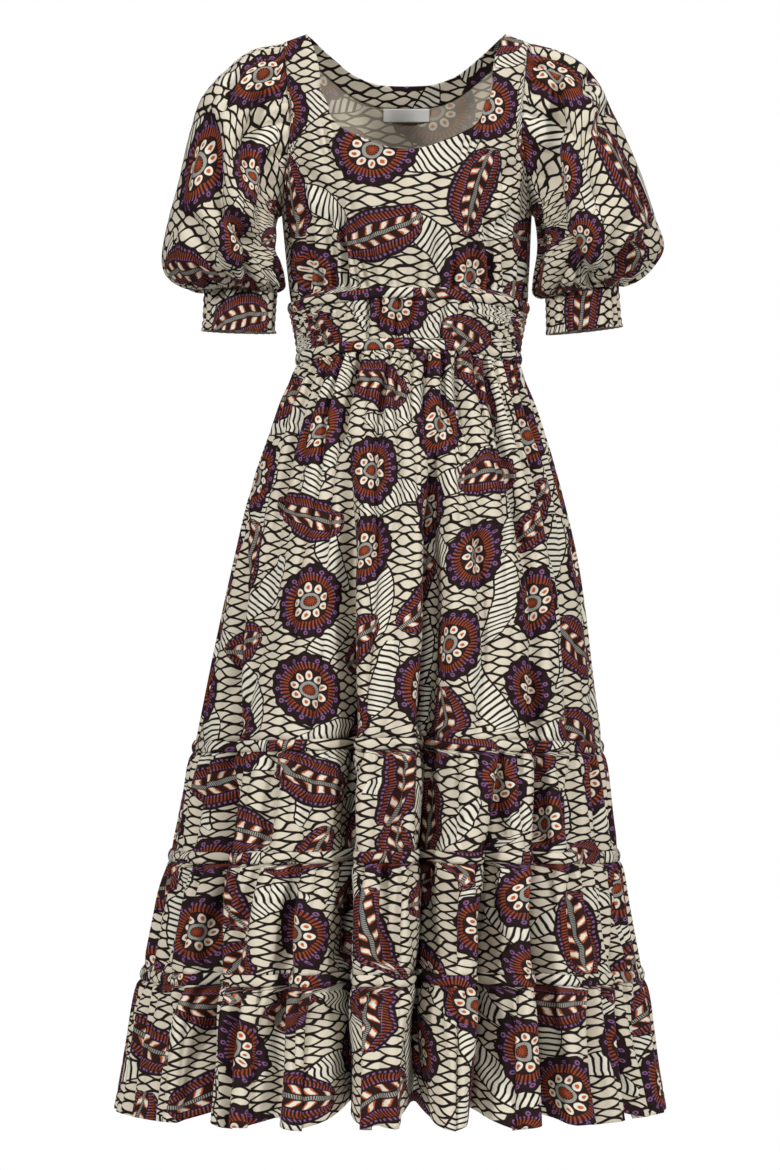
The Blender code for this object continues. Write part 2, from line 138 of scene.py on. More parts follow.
FRONT_FOLDS = table(
    "top     hem     start   width  depth",
    (-0.170, -0.228, -0.480, 0.026, 0.036),
    (-0.062, -0.078, -0.440, 0.024, 0.056),
    (0.040, 0.019, -0.370, 0.025, 0.050),
    (0.100, 0.088, -0.780, 0.024, 0.042),
    (0.142, 0.160, -0.700, 0.024, 0.028),
    (-0.120, -0.148, -0.860, 0.022, 0.020),
    (-0.004, -0.030, -0.400, 0.030, 0.010),
    (0.215, 0.249, -0.860, 0.022, 0.016),
)
BACK_FOLDS = table(
    "top     hem     start   width  depth",
    (-0.150, -0.215, -0.520, 0.026, 0.034),
    (-0.070, -0.110, -0.420, 0.024, 0.048),
    (-0.010, -0.022, -0.390, 0.024, 0.054),
    (0.060, 0.068, -0.600, 0.022, 0.040),
    (0.110, 0.148, -0.440, 0.026, 0.046),
    (0.200, 0.238, -0.800, 0.022, 0.026),
)
ARMHOLE = table(
    "z       front   back    waist",
    (-0.200, 0.1375, 0.1375, 1.000),
    (-0.187, 0.1360, 0.1362, 0.965),
    (-0.152, 0.1305, 0.1328, 0.925),
    (-0.1045, 0.1260, 0.1300, 0.855),
    (-0.057, 0.1290, 0.1310, 0.755),
    (-0.022, 0.1325, 0.1330, 0.695),
    (-SHOULDER_DROP, SHOULDER_ARM, SHOULDER_ARM, 0.640),
)
NECK_FRONT = table(
    "across  z",
    (SHOULDER_NECK, 0.000),
    (0.0970, -0.031),
    (0.0925, -0.068),
    (0.0855, -0.083),
    (0.0820, -0.097),
    (0.0740, -0.108),
    (0.0610, -0.116),
    (0.0420, -0.125),
    (0.0240, -0.132),
    (0.0000, -0.1355),
)
NECK_BACK = table(
    "across  z",
    (SHOULDER_NECK, 0.000),
    (0.1010, -0.006),
    (0.0930, -0.013),
    (0.0780, -0.025),
    (0.0670, -0.0335),
    (0.0570, -0.040),
    (0.0420, -0.046),
    (0.0280, -0.0495),
    (0.0140, -0.0503),
    (0.0000, -0.0506),
)
NECK_AT_WAIST = (0.590, 0.545, 0.485, 0.425, 0.365, 0.295, 0.220, 0.145, 0.070, 0.00)
SLEEVE_RIGHT = table(
    "out_x   out_z    in_x    in_z    depth",
    (0.164, -0.018, 0.1390, -0.203, 0.060),
    (0.189, -0.035, 0.1400, -0.207, 0.074),
    (0.210, -0.056, 0.1408, -0.211, 0.085),
    (0.2255, -0.079, 0.1415, -0.216, 0.092),
    (0.2365, -0.1155, 0.1420, -0.222, 0.097),
    (0.2475, -0.165, 0.1425, -0.230, 0.100),
    (0.2585, -0.205, 0.1420, -0.240, 0.099),
    (0.2660, -0.245, 0.1390, -0.253, 0.092),
    (0.2610, -0.266, 0.1345, -0.265, 0.078),
    (0.2420, -0.279, 0.1325, -0.278, 0.058),
    (0.2210, -0.281, 0.1410, -0.2845, 0.036),
)
SLEEVE_LEFT = table(
    "out_x   out_z    in_x    in_z    depth",
    (0.164, -0.019, 0.1425, -0.203, 0.060),
    (0.189, -0.031, 0.1435, -0.207, 0.074),
    (0.2060, -0.047, 0.1445, -0.211, 0.085),
    (0.2190, -0.069, 0.1455, -0.216, 0.092),
    (0.2380, -0.109, 0.1465, -0.223, 0.098),
    (0.2590, -0.158, 0.1475, -0.232, 0.101),
    (0.2740, -0.204, 0.1475, -0.243, 0.100),
    (0.2825, -0.231, 0.1455, -0.257, 0.092),
    (0.2750, -0.249, 0.1430, -0.271, 0.078),
    (0.2560, -0.268, 0.1420, -0.285, 0.058),
    (0.2355, -0.277, 0.1540, -0.2905, 0.036),
)
CUFF_RIGHT = table(
    "out_x   out_z    in_x    in_z    depth",
    (0.2200, -0.2815, 0.1410, -0.2850, 0.033),
    (0.2220, -0.3265, 0.1440, -0.3290, 0.033),
)
CUFF_LEFT = table(
    "out_x   out_z    in_x    in_z    depth",
    (0.2345, -0.2775, 0.1550, -0.2910, 0.033),
    (0.2380, -0.3220, 0.1560, -0.3310, 0.033),
)
print("dress length", round(-HEM, 3), "m")

# %% [markdown]
# ## Smooth lines through short tables
# A few rows give the whole outline when a smooth curve runs through them. A cubic curve that
# takes its slope from the neighbouring rows keeps every row exact and rounds what is between.

# %% Curves and steps
KNOT_SPREAD = (0.62, 1.38)
RIDGE = (0.0, 0.4)
VALLEY = (0.7, 2.4)
VALLEY_SHARPNESS = 2.8


def smooth_step(value):
    value = np.clip(value, 0.0, 1.0)
    return value * value * (3.0 - 2.0 * value)


def cubic(t, start, start_slope, end, end_slope):
    """From start to end as t goes from 0 to 1, with the given slopes at the ends."""
    leaving = (2 * t ** 3 - 3 * t ** 2 + 1) * start + (t ** 3 - 2 * t ** 2 + t) * start_slope
    return leaving + ((3 * t ** 2 - 2 * t ** 3) * end + (t ** 3 - t ** 2) * end_slope)


def curve(knots, values, at):
    """A smooth curve through values at rising knots, read at the places in at."""
    knots = np.asarray(knots, float)
    values = np.asarray(values, float)
    slopes = np.gradient(values, knots)
    at = np.clip(at, knots[0], knots[-1])
    i = np.clip(np.searchsorted(knots, at) - 1, 0, len(knots) - 2)
    span = knots[i + 1] - knots[i]
    t = (at - knots[i]) / span
    return cubic(t, values[i], span * slopes[i], values[i + 1], span * slopes[i + 1])


def along(rows, column, z):
    """A column of a table at the heights z."""
    return curve(-rows["z"], rows[column], -np.asarray(z, float))


def uneven_places(at, pitch, rng):
    """Places about half a pitch apart: their count, and each point's place and share past it."""
    low = float(np.min(at)) - 2.0 * pitch
    count = int((float(np.max(at)) - low) / (0.5 * pitch)) + 8
    knots = low + np.cumsum(rng.uniform(*KNOT_SPREAD, count)) * 0.5 * pitch
    i = np.clip(np.searchsorted(knots, at) - 1, 0, count - 2)
    return count, i, np.clip((at - knots[i]) / (knots[i + 1] - knots[i]), 0.0, 1.0)


def pleats(at, pitch, seed):
    """Uneven ridges and valleys along a line, about one pair in each pitch, from -1 to 1."""
    rng = np.random.default_rng(seed)
    count, i, t = uneven_places(at, pitch, rng)
    heights = rng.uniform(0.45, 1.0, count) * np.where(np.arange(count) % 2, 1.0, -1.0)
    return heights[i] + (heights[i + 1] - heights[i]) * (0.5 - 0.5 * np.cos(math.pi * t))


def tucks(at, pitch, seed):
    """Broad low ridges with narrow deep valleys between, the way gathers stand."""
    rng = np.random.default_rng(seed)
    count, i, t = uneven_places(at, pitch, rng)
    ridges = rng.uniform(*RIDGE, count)
    heights = np.where(np.arange(count) % 2, ridges, -rng.uniform(*VALLEY, count))
    rising = i % 2 == 0
    climb = np.where(rising, t, 1.0 - t)
    valley = np.where(rising, heights[i], heights[i + 1])
    ridge = np.where(rising, heights[i + 1], heights[i])
    return valley + (ridge - valley) * (1.0 - (1.0 - climb) ** VALLEY_SHARPNESS)


print("waist half width", round(float(along(BODY, "half", WAIST_BOTTOM)), 4))

# %% [markdown]
# ## From a grid of points to a sheet of cloth
# Each cloth piece is a grid: rows run down the dress and columns run round it. NumPy works out
# all the points at once. The grid also carries a UV map in metres of flat cloth, so the print
# and the weave keep their real size and bunch up where the cloth is gathered. Solidify then
# gives the sheet its thickness, with the paler wrong side of the cloth as its inner face.

# %% Grid helpers
UV_LAYER = "flat_cloth"


def grid_slopes(points):
    """Across the sheet at each point, with a length that grows with the grid's cells."""
    return np.cross(np.gradient(points, axis=0), np.gradient(points, axis=1))


def raised(points, height, outward):
    """The sheet moved along its own normals. outward tells which way they should face."""
    normals = grid_slopes(points)
    normals = normals / np.maximum(np.linalg.norm(normals, axis=2, keepdims=True), 1e-12)
    sign = np.sign(np.sum(normals * outward, axis=(0, 1, 2)))
    return points + normals * sign * height[..., None]


def row_shares(points):
    """Place along each row, from 0 to 1, by the true length of the folded cloth."""
    steps = np.linalg.norm(np.diff(points, axis=1), axis=2)
    run = np.hstack([np.zeros((points.shape[0], 1)), np.cumsum(steps, axis=1)])
    return run / run[:, -1:]


def column_lengths(points):
    """Length along each column from the first row."""
    steps = np.linalg.norm(np.diff(points, axis=0), axis=2)
    return np.vstack([np.zeros((1, points.shape[1])), np.cumsum(steps, axis=0)])


def cloth(node, points, flat, materials, outward):
    """A sheet of cloth, which stands for a node. flat is its two flat coordinates in metres."""
    name = "cloth_" + node
    rows, columns, _ = points.shape
    index = np.arange(rows * columns).reshape(rows, columns)
    corners = (index[:-1, :-1], index[1:, :-1], index[1:, 1:], index[:-1, 1:])
    quads = np.stack(corners, axis=-1).reshape(-1, 4)
    if np.sum(grid_slopes(points) * outward) < 0.0:
        quads = quads[:, ::-1]
    mesh = bpy.data.meshes.new(name)
    mesh.from_pydata(points.reshape(-1, 3).tolist(), [], quads.tolist())
    corner = np.empty(len(mesh.loops), dtype=np.int32)
    mesh.loops.foreach_get("vertex_index", corner)
    uv = np.stack(np.broadcast_arrays(*flat), axis=-1).reshape(-1, 2)
    layer = mesh.uv_layers.new(name=UV_LAYER)
    layer.data.foreach_set("uv", uv[corner].astype(np.float32).ravel())
    mesh.shade_smooth()
    for material in materials:
        mesh.materials.append(material)
    piece = placed(name, mesh)
    wall = piece.modifiers.new("thickness", "SOLIDIFY")
    wall.thickness = CLOTH
    wall.offset = -1.0
    wall.material_offset = len(materials) - 1
    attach(piece, "root")
    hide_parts(node)
    crossed = np.cross(points[1:, 1:] - points[:-1, :-1], points[1:, :-1] - points[:-1, 1:])
    area = 0.5 * np.linalg.norm(crossed, axis=2)
    print(name, "grid", rows, "x", columns, "area", round(float(area.sum()), 4), "m2")
    return piece


# %% [markdown]
# ## Creases
# The creases that catch the eye are placed one by one, as soft troughs along short lines seen from
# the front or the back. Each has its own length, width and depth, because even creases look
# machine made.

# %% Creases
CREASE_TURN = 0.02


def crease_field(points, creases, deeper):
    """Depth of the listed creases at each point. side is -1 in front and 1 behind."""
    total = np.zeros(points.shape[:2])
    for crease in rows_of(creases):
        start = np.array([crease["x1"], crease["z1"]])
        run = np.array([crease["x2"], crease["z2"]]) - start
        flat = points[..., [0, 2]] - start
        share = np.clip(flat @ run / (run @ run), -0.2, 1.2)
        away = np.linalg.norm(flat - share[..., None] * run, axis=2)
        ends = smooth_step((share + 0.15) / 0.4) * smooth_step((1.15 - share) / 0.4)
        here = smooth_step(0.5 + crease["side"] * points[..., 1] / CREASE_TURN)
        total += crease["depth"] * np.exp(-(away / crease["width"]) ** 2) * ends * here
    return total * deeper


BODICE_CREASES = table(
    "side  x1      z1      x2      z2      width   depth",
    (-1.0, -0.093, -0.283, -0.082, -0.205, 0.0035, 0.0030),
    (-1.0, -0.080, -0.286, -0.078, -0.235, 0.0030, 0.0026),
    (-1.0, -0.066, -0.286, -0.070, -0.190, 0.0040, 0.0030),
    (-1.0, -0.051, -0.286, -0.056, -0.245, 0.0028, 0.0020),
    (-1.0, -0.034, -0.286, -0.040, -0.215, 0.0040, 0.0022),
    (-1.0, 0.002, -0.200, 0.004, -0.222, 0.0030, 0.0016),
    (-1.0, 0.030, -0.286, 0.036, -0.228, 0.0036, 0.0022),
    (-1.0, 0.052, -0.286, 0.055, -0.238, 0.0030, 0.0020),
    (-1.0, 0.070, -0.286, 0.072, -0.200, 0.0040, 0.0030),
    (-1.0, 0.084, -0.286, 0.080, -0.240, 0.0030, 0.0026),
    (-1.0, 0.098, -0.284, 0.088, -0.195, 0.0040, 0.0032),
    (-1.0, 0.112, -0.290, 0.106, -0.225, 0.0036, 0.0026),
    (-1.0, -0.108, -0.288, -0.100, -0.220, 0.0036, 0.0026),
    (-1.0, -0.118, -0.150, -0.085, -0.185, 0.0080, 0.0026),
    (-1.0, 0.118, -0.150, 0.088, -0.190, 0.0080, 0.0026),
    (-1.0, -0.122, -0.195, -0.095, -0.215, 0.0070, 0.0022),
    (-1.0, 0.122, -0.200, 0.098, -0.222, 0.0070, 0.0022),
    (1.0, -0.090, -0.283, -0.080, -0.190, 0.0040, 0.0030),
    (1.0, -0.058, -0.284, -0.055, -0.225, 0.0034, 0.0024),
    (1.0, -0.020, -0.284, -0.016, -0.205, 0.0040, 0.0024),
    (1.0, 0.026, -0.284, 0.022, -0.235, 0.0034, 0.0024),
    (1.0, 0.064, -0.284, 0.060, -0.180, 0.0040, 0.0030),
    (1.0, 0.096, -0.284, 0.090, -0.230, 0.0034, 0.0026),
    (1.0, -0.112, -0.120, -0.070, -0.150, 0.0090, 0.0024),
    (1.0, 0.110, -0.130, 0.066, -0.165, 0.0090, 0.0024),
)
SLEEVE_RIGHT_CREASES = table(
    "side  x1      z1      x2      z2      width   depth",
    (-1.0, -0.214, -0.095, -0.207, -0.195, 0.0110, 0.0075),
    (-1.0, -0.211, -0.190, -0.150, -0.245, 0.0100, 0.0070),
    (-1.0, -0.150, -0.055, -0.172, -0.170, 0.0090, 0.0050),
    (-1.0, -0.240, -0.200, -0.205, -0.262, 0.0080, 0.0050),
    (-1.0, -0.165, -0.230, -0.172, -0.285, 0.0060, 0.0055),
    (-1.0, -0.186, -0.040, -0.198, -0.090, 0.0070, 0.0035),
    (-1.0, -0.148, -0.140, -0.152, -0.215, 0.0070, 0.0040),
    (1.0, -0.205, -0.085, -0.215, -0.180, 0.0120, 0.0070),
    (1.0, -0.160, -0.070, -0.168, -0.200, 0.0100, 0.0060),
    (1.0, -0.225, -0.190, -0.190, -0.260, 0.0090, 0.0055),
    (1.0, -0.150, -0.200, -0.160, -0.270, 0.0070, 0.0050),
)
SLEEVE_LEFT_CREASES = table(
    "side  x1      z1      x2      z2      width   depth",
    (-1.0, 0.163, -0.052, 0.154, -0.150, 0.0080, 0.0080),
    (-1.0, 0.155, -0.140, 0.158, -0.245, 0.0080, 0.0085),
    (-1.0, 0.158, -0.225, 0.205, -0.282, 0.0080, 0.0070),
    (-1.0, 0.214, -0.030, 0.196, -0.075, 0.0070, 0.0035),
    (-1.0, 0.232, -0.075, 0.205, -0.120, 0.0080, 0.0035),
    (-1.0, 0.265, -0.225, 0.228, -0.268, 0.0070, 0.0050),
    (-1.0, 0.250, -0.200, 0.215, -0.255, 0.0060, 0.0035),
    (-1.0, 0.195, -0.110, 0.208, -0.200, 0.0110, 0.0045),
    (1.0, 0.205, -0.080, 0.222, -0.190, 0.0120, 0.0070),
    (1.0, 0.160, -0.060, 0.166, -0.195, 0.0100, 0.0065),
    (1.0, 0.238, -0.190, 0.205, -0.262, 0.0090, 0.0055),
    (1.0, 0.158, -0.210, 0.170, -0.275, 0.0070, 0.0050),
)
crease_tables = (BODICE_CREASES, SLEEVE_RIGHT_CREASES, SLEEVE_LEFT_CREASES)
print("creases", sum(len(rows["x1"]) for rows in crease_tables))

# %% [markdown]
# ## Arithmetic in shader nodes
# A printed pattern is a formula over the flat cloth. Written node by node it is hard to follow,
# so a small class lets us write it as ordinary arithmetic: each sum or product makes one Math
# node in the tree that it belongs to.

# %% Shader arithmetic
PRINT_BLUR = 0.00030


class Field:
    """A number that changes over the surface, made by Math nodes."""

    def __init__(self, tree, socket):
        self.tree = tree
        self.socket = socket

    def math(self, operation, *others):
        node = self.tree.nodes.new("ShaderNodeMath")
        node.operation = operation
        for place, value in enumerate((self, *others)):
            if isinstance(value, Field):
                self.tree.links.new(value.socket, node.inputs[place])
            else:
                node.inputs[place].default_value = float(value)
        return Field(self.tree, node.outputs[0])

    def __add__(self, other):
        return self.math("ADD", other)

    def __sub__(self, other):
        return self.math("SUBTRACT", other)

    def __mul__(self, other):
        return self.math("MULTIPLY", other)

    def __truediv__(self, other):
        return self.math("DIVIDE", other)

    def __rsub__(self, other):
        return (self * -1.0) + other

    def less(self, edge, blur=PRINT_BLUR):
        """1 where the field is below the edge, 0 above, with a soft change."""
        node = self.tree.nodes.new("ShaderNodeMapRange")
        node.interpolation_type = "SMOOTHSTEP"
        node.clamp = True
        self.tree.links.new((self - edge).socket, node.inputs["Value"])
        limits = {"From Min": -blur, "From Max": blur, "To Min": 1.0, "To Max": 0.0}
        for socket, value in limits.items():
            node.inputs[socket].default_value = value
        return Field(self.tree, node.outputs["Result"])


def by_math(operation):
    """A function that puts its fields through one Math operation."""
    return lambda field, *others: field.math(operation, *others)


sine, cosine, size, root = map(by_math, ("SINE", "COSINE", "ABSOLUTE", "SQRT"))
whole, within, smaller, larger = map(by_math, ("FLOOR", "FRACT", "MINIMUM", "MAXIMUM"))


def paint(tree, under, over, mask):
    """A colour laid over another one where the mask is 1. Each of the three may be constant."""
    node = tree.nodes.new("ShaderNodeMix")
    node.data_type = "RGBA"
    if isinstance(mask, Field):
        tree.links.new(mask.socket, node.inputs["Factor"])
    else:
        node.inputs["Factor"].default_value = mask
    for socket, colour in zip((s for s in node.inputs if s.type == "RGBA"), (under, over)):
        if isinstance(colour, tuple):
            socket.default_value = (*colour, 1.0)
        else:
            tree.links.new(colour, socket)
    return next(s for s in node.outputs if s.type == "RGBA")


def layered(tree, colour, *layers):
    """Colours laid over one another in turn, each through its mask."""
    for over, mask in layers:
        colour = paint(tree, colour, over, mask)
    return colour


def vector_math(tree, operation, *values):
    """A Vector Math node, with each value linked or set."""
    node = tree.nodes.new("ShaderNodeVectorMath")
    node.operation = operation
    for place, value in enumerate(values):
        if isinstance(value, tuple):
            node.inputs[place].default_value = value
        else:
            tree.links.new(value, node.inputs[place])
    return node


def noise(tree, vector, scale, detail, seed):
    """Smooth noise over the flat cloth. scale is in cycles a metre."""
    node = tree.nodes.new("ShaderNodeTexNoise")
    node.noise_dimensions = "4D"
    tree.links.new(vector, node.inputs["Vector"])
    for socket, value in (("W", seed), ("Scale", scale), ("Detail", detail)):
        node.inputs[socket].default_value = value
    return node


def linear(red, green, blue):
    """A screen colour, 0 to 255, as the linear values that a shader wants."""
    values = [value / 255.0 for value in (red, green, blue)]
    return tuple(v / 12.92 if v <= 0.04045 else ((v + 0.055) / 1.055) ** 2.4 for v in values)


def new_group(name, inputs, outputs):
    """An empty shader group with named sockets."""
    tree = bpy.data.node_groups.new(name, "ShaderNodeTree")
    for way, sockets in (("INPUT", inputs), ("OUTPUT", outputs)):
        for socket, kind in sockets:
            tree.interface.new_socket(socket, in_out=way, socket_type="NodeSocket" + kind)
    return tree, tree.nodes.new("NodeGroupInput"), tree.nodes.new("NodeGroupOutput")


def use_group(tree, group, coordinates):
    """A group placed in a material and fed with the flat coordinates."""
    node = tree.nodes.new("ShaderNodeGroup")
    node.node_tree = group
    tree.links.new(coordinates, node.inputs["Coordinates"])
    return node


print("shader arithmetic ready")

# %% [markdown]
# ## The print
# The cloth is a wax-style cotton print: a cream ground covered by a hand-drawn net of dark lines,
# with large round flowers, broad leaves and long striped leaves scattered over it. The net is two
# families of sine waves that touch, bent a little by noise. Each motif lives in a cell of a
# half-drop repeat, and a random number for the cell turns it.

# %% Print colours
CREAM = linear(213, 203, 183)
STRIPE_CREAM = linear(222, 216, 200)
LINE = linear(26, 15, 11)
AUBERGINE = linear(35, 16, 21)
RUST = linear(140, 64, 34)
EMBER = linear(184, 88, 38)
BROWN = linear(42, 19, 16)
LILAC = linear(126, 86, 128)
GREY = linear(146, 146, 138)
NET_WIDTH = 0.0325
NET_HEIGHT = 0.0054
NET_LINE = 0.00136
MOTIF_SCALE = 0.89
FLOWER_REACH = 0.0355
DOTS_AT = 0.0300
PETALS_AT = 0.0140
LEAF_REACH = 0.046


def net_lines(x, y):
    """1 on the lines of the net. Waves of even and odd rows mirror each other and touch."""
    wave = sine(x * (2.0 * math.pi / NET_WIDTH)) * (0.5 * NET_HEIGHT)
    even = size(within((y - wave) / (2.0 * NET_HEIGHT) + 0.5) - 0.5) * (2.0 * NET_HEIGHT)
    odd = size(within((y + wave) / (2.0 * NET_HEIGHT)) - 0.5) * (2.0 * NET_HEIGHT)
    return smaller(even, odd).less(NET_LINE)


def motif_cells(tree, u, v, pitch_u, pitch_v, seed, jitter):
    """Local coordinates in a half-drop repeat, turned by chance, and one more random number."""
    column = whole(u / pitch_u)
    dropped = v + column.math("FLOORED_MODULO", 2.0) * (0.5 * pitch_v)
    row = whole(dropped / pitch_v)
    place = tree.nodes.new("ShaderNodeCombineXYZ")
    tree.links.new(column.socket, place.inputs[0])
    tree.links.new(row.socket, place.inputs[1])
    place.inputs[2].default_value = seed
    chance = tree.nodes.new("ShaderNodeTexWhiteNoise")
    chance.noise_dimensions = "3D"
    tree.links.new(place.outputs[0], chance.inputs["Vector"])
    parts = tree.nodes.new("ShaderNodeSeparateColor")
    tree.links.new(chance.outputs["Color"], parts.inputs[0])
    one, two, three = (Field(tree, parts.outputs[k]) for k in range(3))
    x = u - (column + 0.5) * pitch_u + (two - 0.5) * jitter
    y = dropped - (row + 0.5) * pitch_v + (three - 0.5) * jitter
    turn = one * (2.0 * math.pi)
    return x * cosine(turn) + y * sine(turn), y * cosine(turn) - x * sine(turn), two


def leaf_width(x, widest):
    """Half width of a leaf whose tips are LEAF_REACH from its middle."""
    return root(larger(1.0 - x * x / (LEAF_REACH ** 2), 0.0)) * widest


def round_repeat(x, y, count):
    """Distance from the middle, and distance to the nearest of count rays."""
    reach = root(x * x + y * y)
    angle = y.math("ARCTAN2", x)
    step = 2.0 * math.pi / count
    return reach, (within(angle / step) - 0.5) * step * reach


def flower(tree, x, y, grain):
    """A round flower of rings: dotted rim, hatched ring, petals, grey ring and rayed heart."""
    reach, rim = round_repeat(x, y, 16)
    hatch, petal, ray = (round_repeat(x, y, count)[1] for count in (46, 9, 14))
    edge = size(rim) * -0.32 + FLOWER_REACH
    inside = (reach - edge).less(0.0)
    outline = size(reach - edge).less(0.0011)
    dot = root(rim * rim + (reach - DOTS_AT) * (reach - DOTS_AT))
    strokes = size(hatch).less(0.00078, 0.0004)
    ragged = (size(reach - 0.0228) + grain * 0.0042 - 0.0021).less(0.0030)
    from_ring = reach - PETALS_AT
    petal_size = root(petal * petal / (0.0038 ** 2) + from_ring * from_ring / (0.0046 ** 2))
    heart = reach.less(0.0056)
    colour = layered(
        tree, LINE,
        (AUBERGINE, inside),
        (LILAC, dot.less(0.0021)),
        (AUBERGINE, dot.less(0.0009)),
        (RUST, strokes * ragged),
        (LILAC, strokes * size(reach - 0.0266).less(0.0009)),
        (BROWN, size(from_ring).less(0.0054)),
        (STRIPE_CREAM, petal_size.less(0.92, 0.05)),
        (EMBER, (petal_size + grain * 0.9).less(0.86, 0.06)),
        (GREY, size(reach - 0.0072).less(0.0014)),
        (AUBERGINE, heart),
        (RUST, heart * size(ray).less(0.0005)),
        (LINE, outline),
    )
    return colour, larger(inside, outline)


def broad_leaf(tree, x, y, grain):
    """A broad curved leaf: dotted rim, herringbone blocks and a grey midrib."""
    bent = size(y - x * x * 3.2 + 0.003)
    share = bent / (leaf_width(x, 0.0235) + 0.0002)
    short_of_tips = size(x).less(0.0455)
    inside = share.less(1.0, 0.02) * short_of_tips
    outline = size(share - 1.0).less(0.045, 0.02) * short_of_tips
    rim = size(share - 0.88).less(0.045, 0.02)
    bead = (size(within(x / 0.0044) - 0.5) * 0.0044).less(0.0010)
    strokes = size(within((x + bent * 0.25) / 0.0029) - 0.5).less(0.22, 0.1)
    band = (size(share - 0.67) + grain * 0.16 - 0.08).less(0.12, 0.03)
    vein = size(within((x - bent * 0.6) / 0.0145) - 0.5)
    core = share.less(0.47, 0.02) * inside
    window = core * vein.less(0.25, 0.03) * size(share - 0.28).less(0.135, 0.03)
    midrib = inside * bent.less(0.0018)
    colour = layered(
        tree, LINE,
        (AUBERGINE, inside),
        (LILAC, inside * rim * bead),
        (RUST, inside * band * strokes),
        (LILAC, inside * strokes * size(share - 0.53).less(0.035, 0.02)),
        (BROWN, core),
        (EMBER, window),
        (STRIPE_CREAM, window * (size(vein - 0.02) + grain * 0.35).less(0.30, 0.04)),
        (GREY, midrib),
        (LINE, midrib * size(within(x / 0.0017) - 0.5).less(0.20, 0.1)),
        (LINE, outline),
    )
    return colour, larger(inside, outline)


def striped_leaf(tree, colour, x, y):
    """A long bent leaf with bars across it, laid over a colour."""
    bent = y - x * x * 7.0 + 0.006
    past = size(bent) - leaf_width(x, 0.0125)
    inside = past.less(0.0)
    bar = size(within((x + bent * 0.25) / 0.0049) - 0.5).less(0.19, 0.05)
    outline = size(past).less(0.0008) * size(x).less(0.0462)
    return layered(tree, colour, (STRIPE_CREAM, inside), (LINE, inside * bar), (LINE, outline))


print("print colours", len((CREAM, STRIPE_CREAM, LINE, AUBERGINE, RUST, EMBER, BROWN, LILAC, GREY)))

# %% [markdown]
# ## The print as a node group
# Both the right side and the paler wrong side of the cloth use the print, so it is built once as
# a node group. It takes flat cloth coordinates in metres and gives a colour.

# %% Print group
NET_WOBBLE = (0.0135, 3.0, 36.0)
MOTIF_WOBBLE = (0.0070, 5.0, 44.0)
LONG_LEAF_CELLS = dict(pitch_u=0.110, pitch_v=0.098, seed=2.0, jitter=0.024)
LONG_LEAF_SHIFT = (0.041, 0.027)
LONG_LEAF_SCALE = 0.80
MOTIF_CELLS = dict(pitch_u=0.105, pitch_v=0.096, seed=7.0, jitter=0.008)
FLOWER_SHARE = 0.52


def shifted(tree, vector, amount, seed, scale):
    """Coordinates pushed about by noise, for a hand-drawn wobble."""
    wobble = noise(tree, vector, scale, 1.0, seed)
    centred = vector_math(tree, "SUBTRACT", wobble.outputs["Color"], (0.5, 0.5, 0.5))
    moved = vector_math(tree, "MULTIPLY_ADD", centred.outputs[0], (amount, amount, 0.0), vector)
    parts = tree.nodes.new("ShaderNodeSeparateXYZ")
    tree.links.new(moved.outputs[0], parts.inputs[0])
    return Field(tree, parts.outputs[0]), Field(tree, parts.outputs[1])


def build_print():
    tree, source, sink = new_group("wax_print", [("Coordinates", "Vector")], [("Color", "Color")])
    flat = source.outputs["Coordinates"]
    u, v = shifted(tree, flat, *NET_WOBBLE)
    grain = Field(tree, noise(tree, flat, 260.0, 2.0, 8.0).outputs["Fac"])
    colour = paint(tree, CREAM, LINE, net_lines(u, v))
    u, v = shifted(tree, flat, *MOTIF_WOBBLE)
    x, y, _ = motif_cells(tree, u + LONG_LEAF_SHIFT[0], v + LONG_LEAF_SHIFT[1], **LONG_LEAF_CELLS)
    colour = striped_leaf(tree, colour, x * LONG_LEAF_SCALE, y * LONG_LEAF_SCALE)
    x, y, kind = motif_cells(tree, u, v, **MOTIF_CELLS)
    x, y = x * MOTIF_SCALE, y * MOTIF_SCALE
    bloom, bloom_mask = flower(tree, x, y, grain)
    leaf, leaf_mask = broad_leaf(tree, x, y, grain)
    is_flower = kind.less(FLOWER_SHARE, 0.0001)
    masks = (leaf, leaf_mask * (1.0 - is_flower)), (bloom, bloom_mask * is_flower)
    colour = layered(tree, colour, *masks)
    tree.links.new(colour, sink.inputs["Color"])
    return tree


WAX_PRINT = build_print()
print("print nodes", len(WAX_PRINT.nodes))

# %% [markdown]
# ## Weave
# Up close the cotton shows fine slubs along both threads. The group gives a height for the Bump
# node and a tone that varies a little, as dye takes unevenly.

# %% Weave group
def build_weave():
    tree, source, sink = new_group(
        "cotton_weave",
        [("Coordinates", "Vector"), ("Thread Scale", "Float")],
        [("Height", "Float"), ("Tone", "Float")],
    )
    flat = source.outputs["Coordinates"]
    parts = []
    for seed, stretch in ((1.0, (1.0, 7.0, 1.0)), (2.0, (7.0, 1.0, 1.0))):
        drawn = vector_math(tree, "MULTIPLY", flat, stretch)
        threads = noise(tree, drawn.outputs[0], 160.0, 2.0, seed)
        tree.links.new(source.outputs["Thread Scale"], threads.inputs["Scale"])
        parts.append(Field(tree, threads.outputs["Fac"]))
    total = parts[0] + parts[1]
    cloud = Field(tree, noise(tree, flat, 14.0, 2.0, 4.0).outputs["Fac"])
    tree.links.new((total * 0.5).socket, sink.inputs["Height"])
    tree.links.new((cloud * 0.16 + total * 0.06 + 0.86).socket, sink.inputs["Tone"])
    return tree


WEAVE = build_weave()
print("weave nodes", len(WEAVE.nodes))

# %% [markdown]
# ## Materials
# The right side shows the print at full strength. The wrong side shows it fainter, because the
# dye only partly comes through. All read the UV map in metres. The tapes are cut a little off the
# print's direction, so their coordinates are turned. The label is bare, in a finer weave.

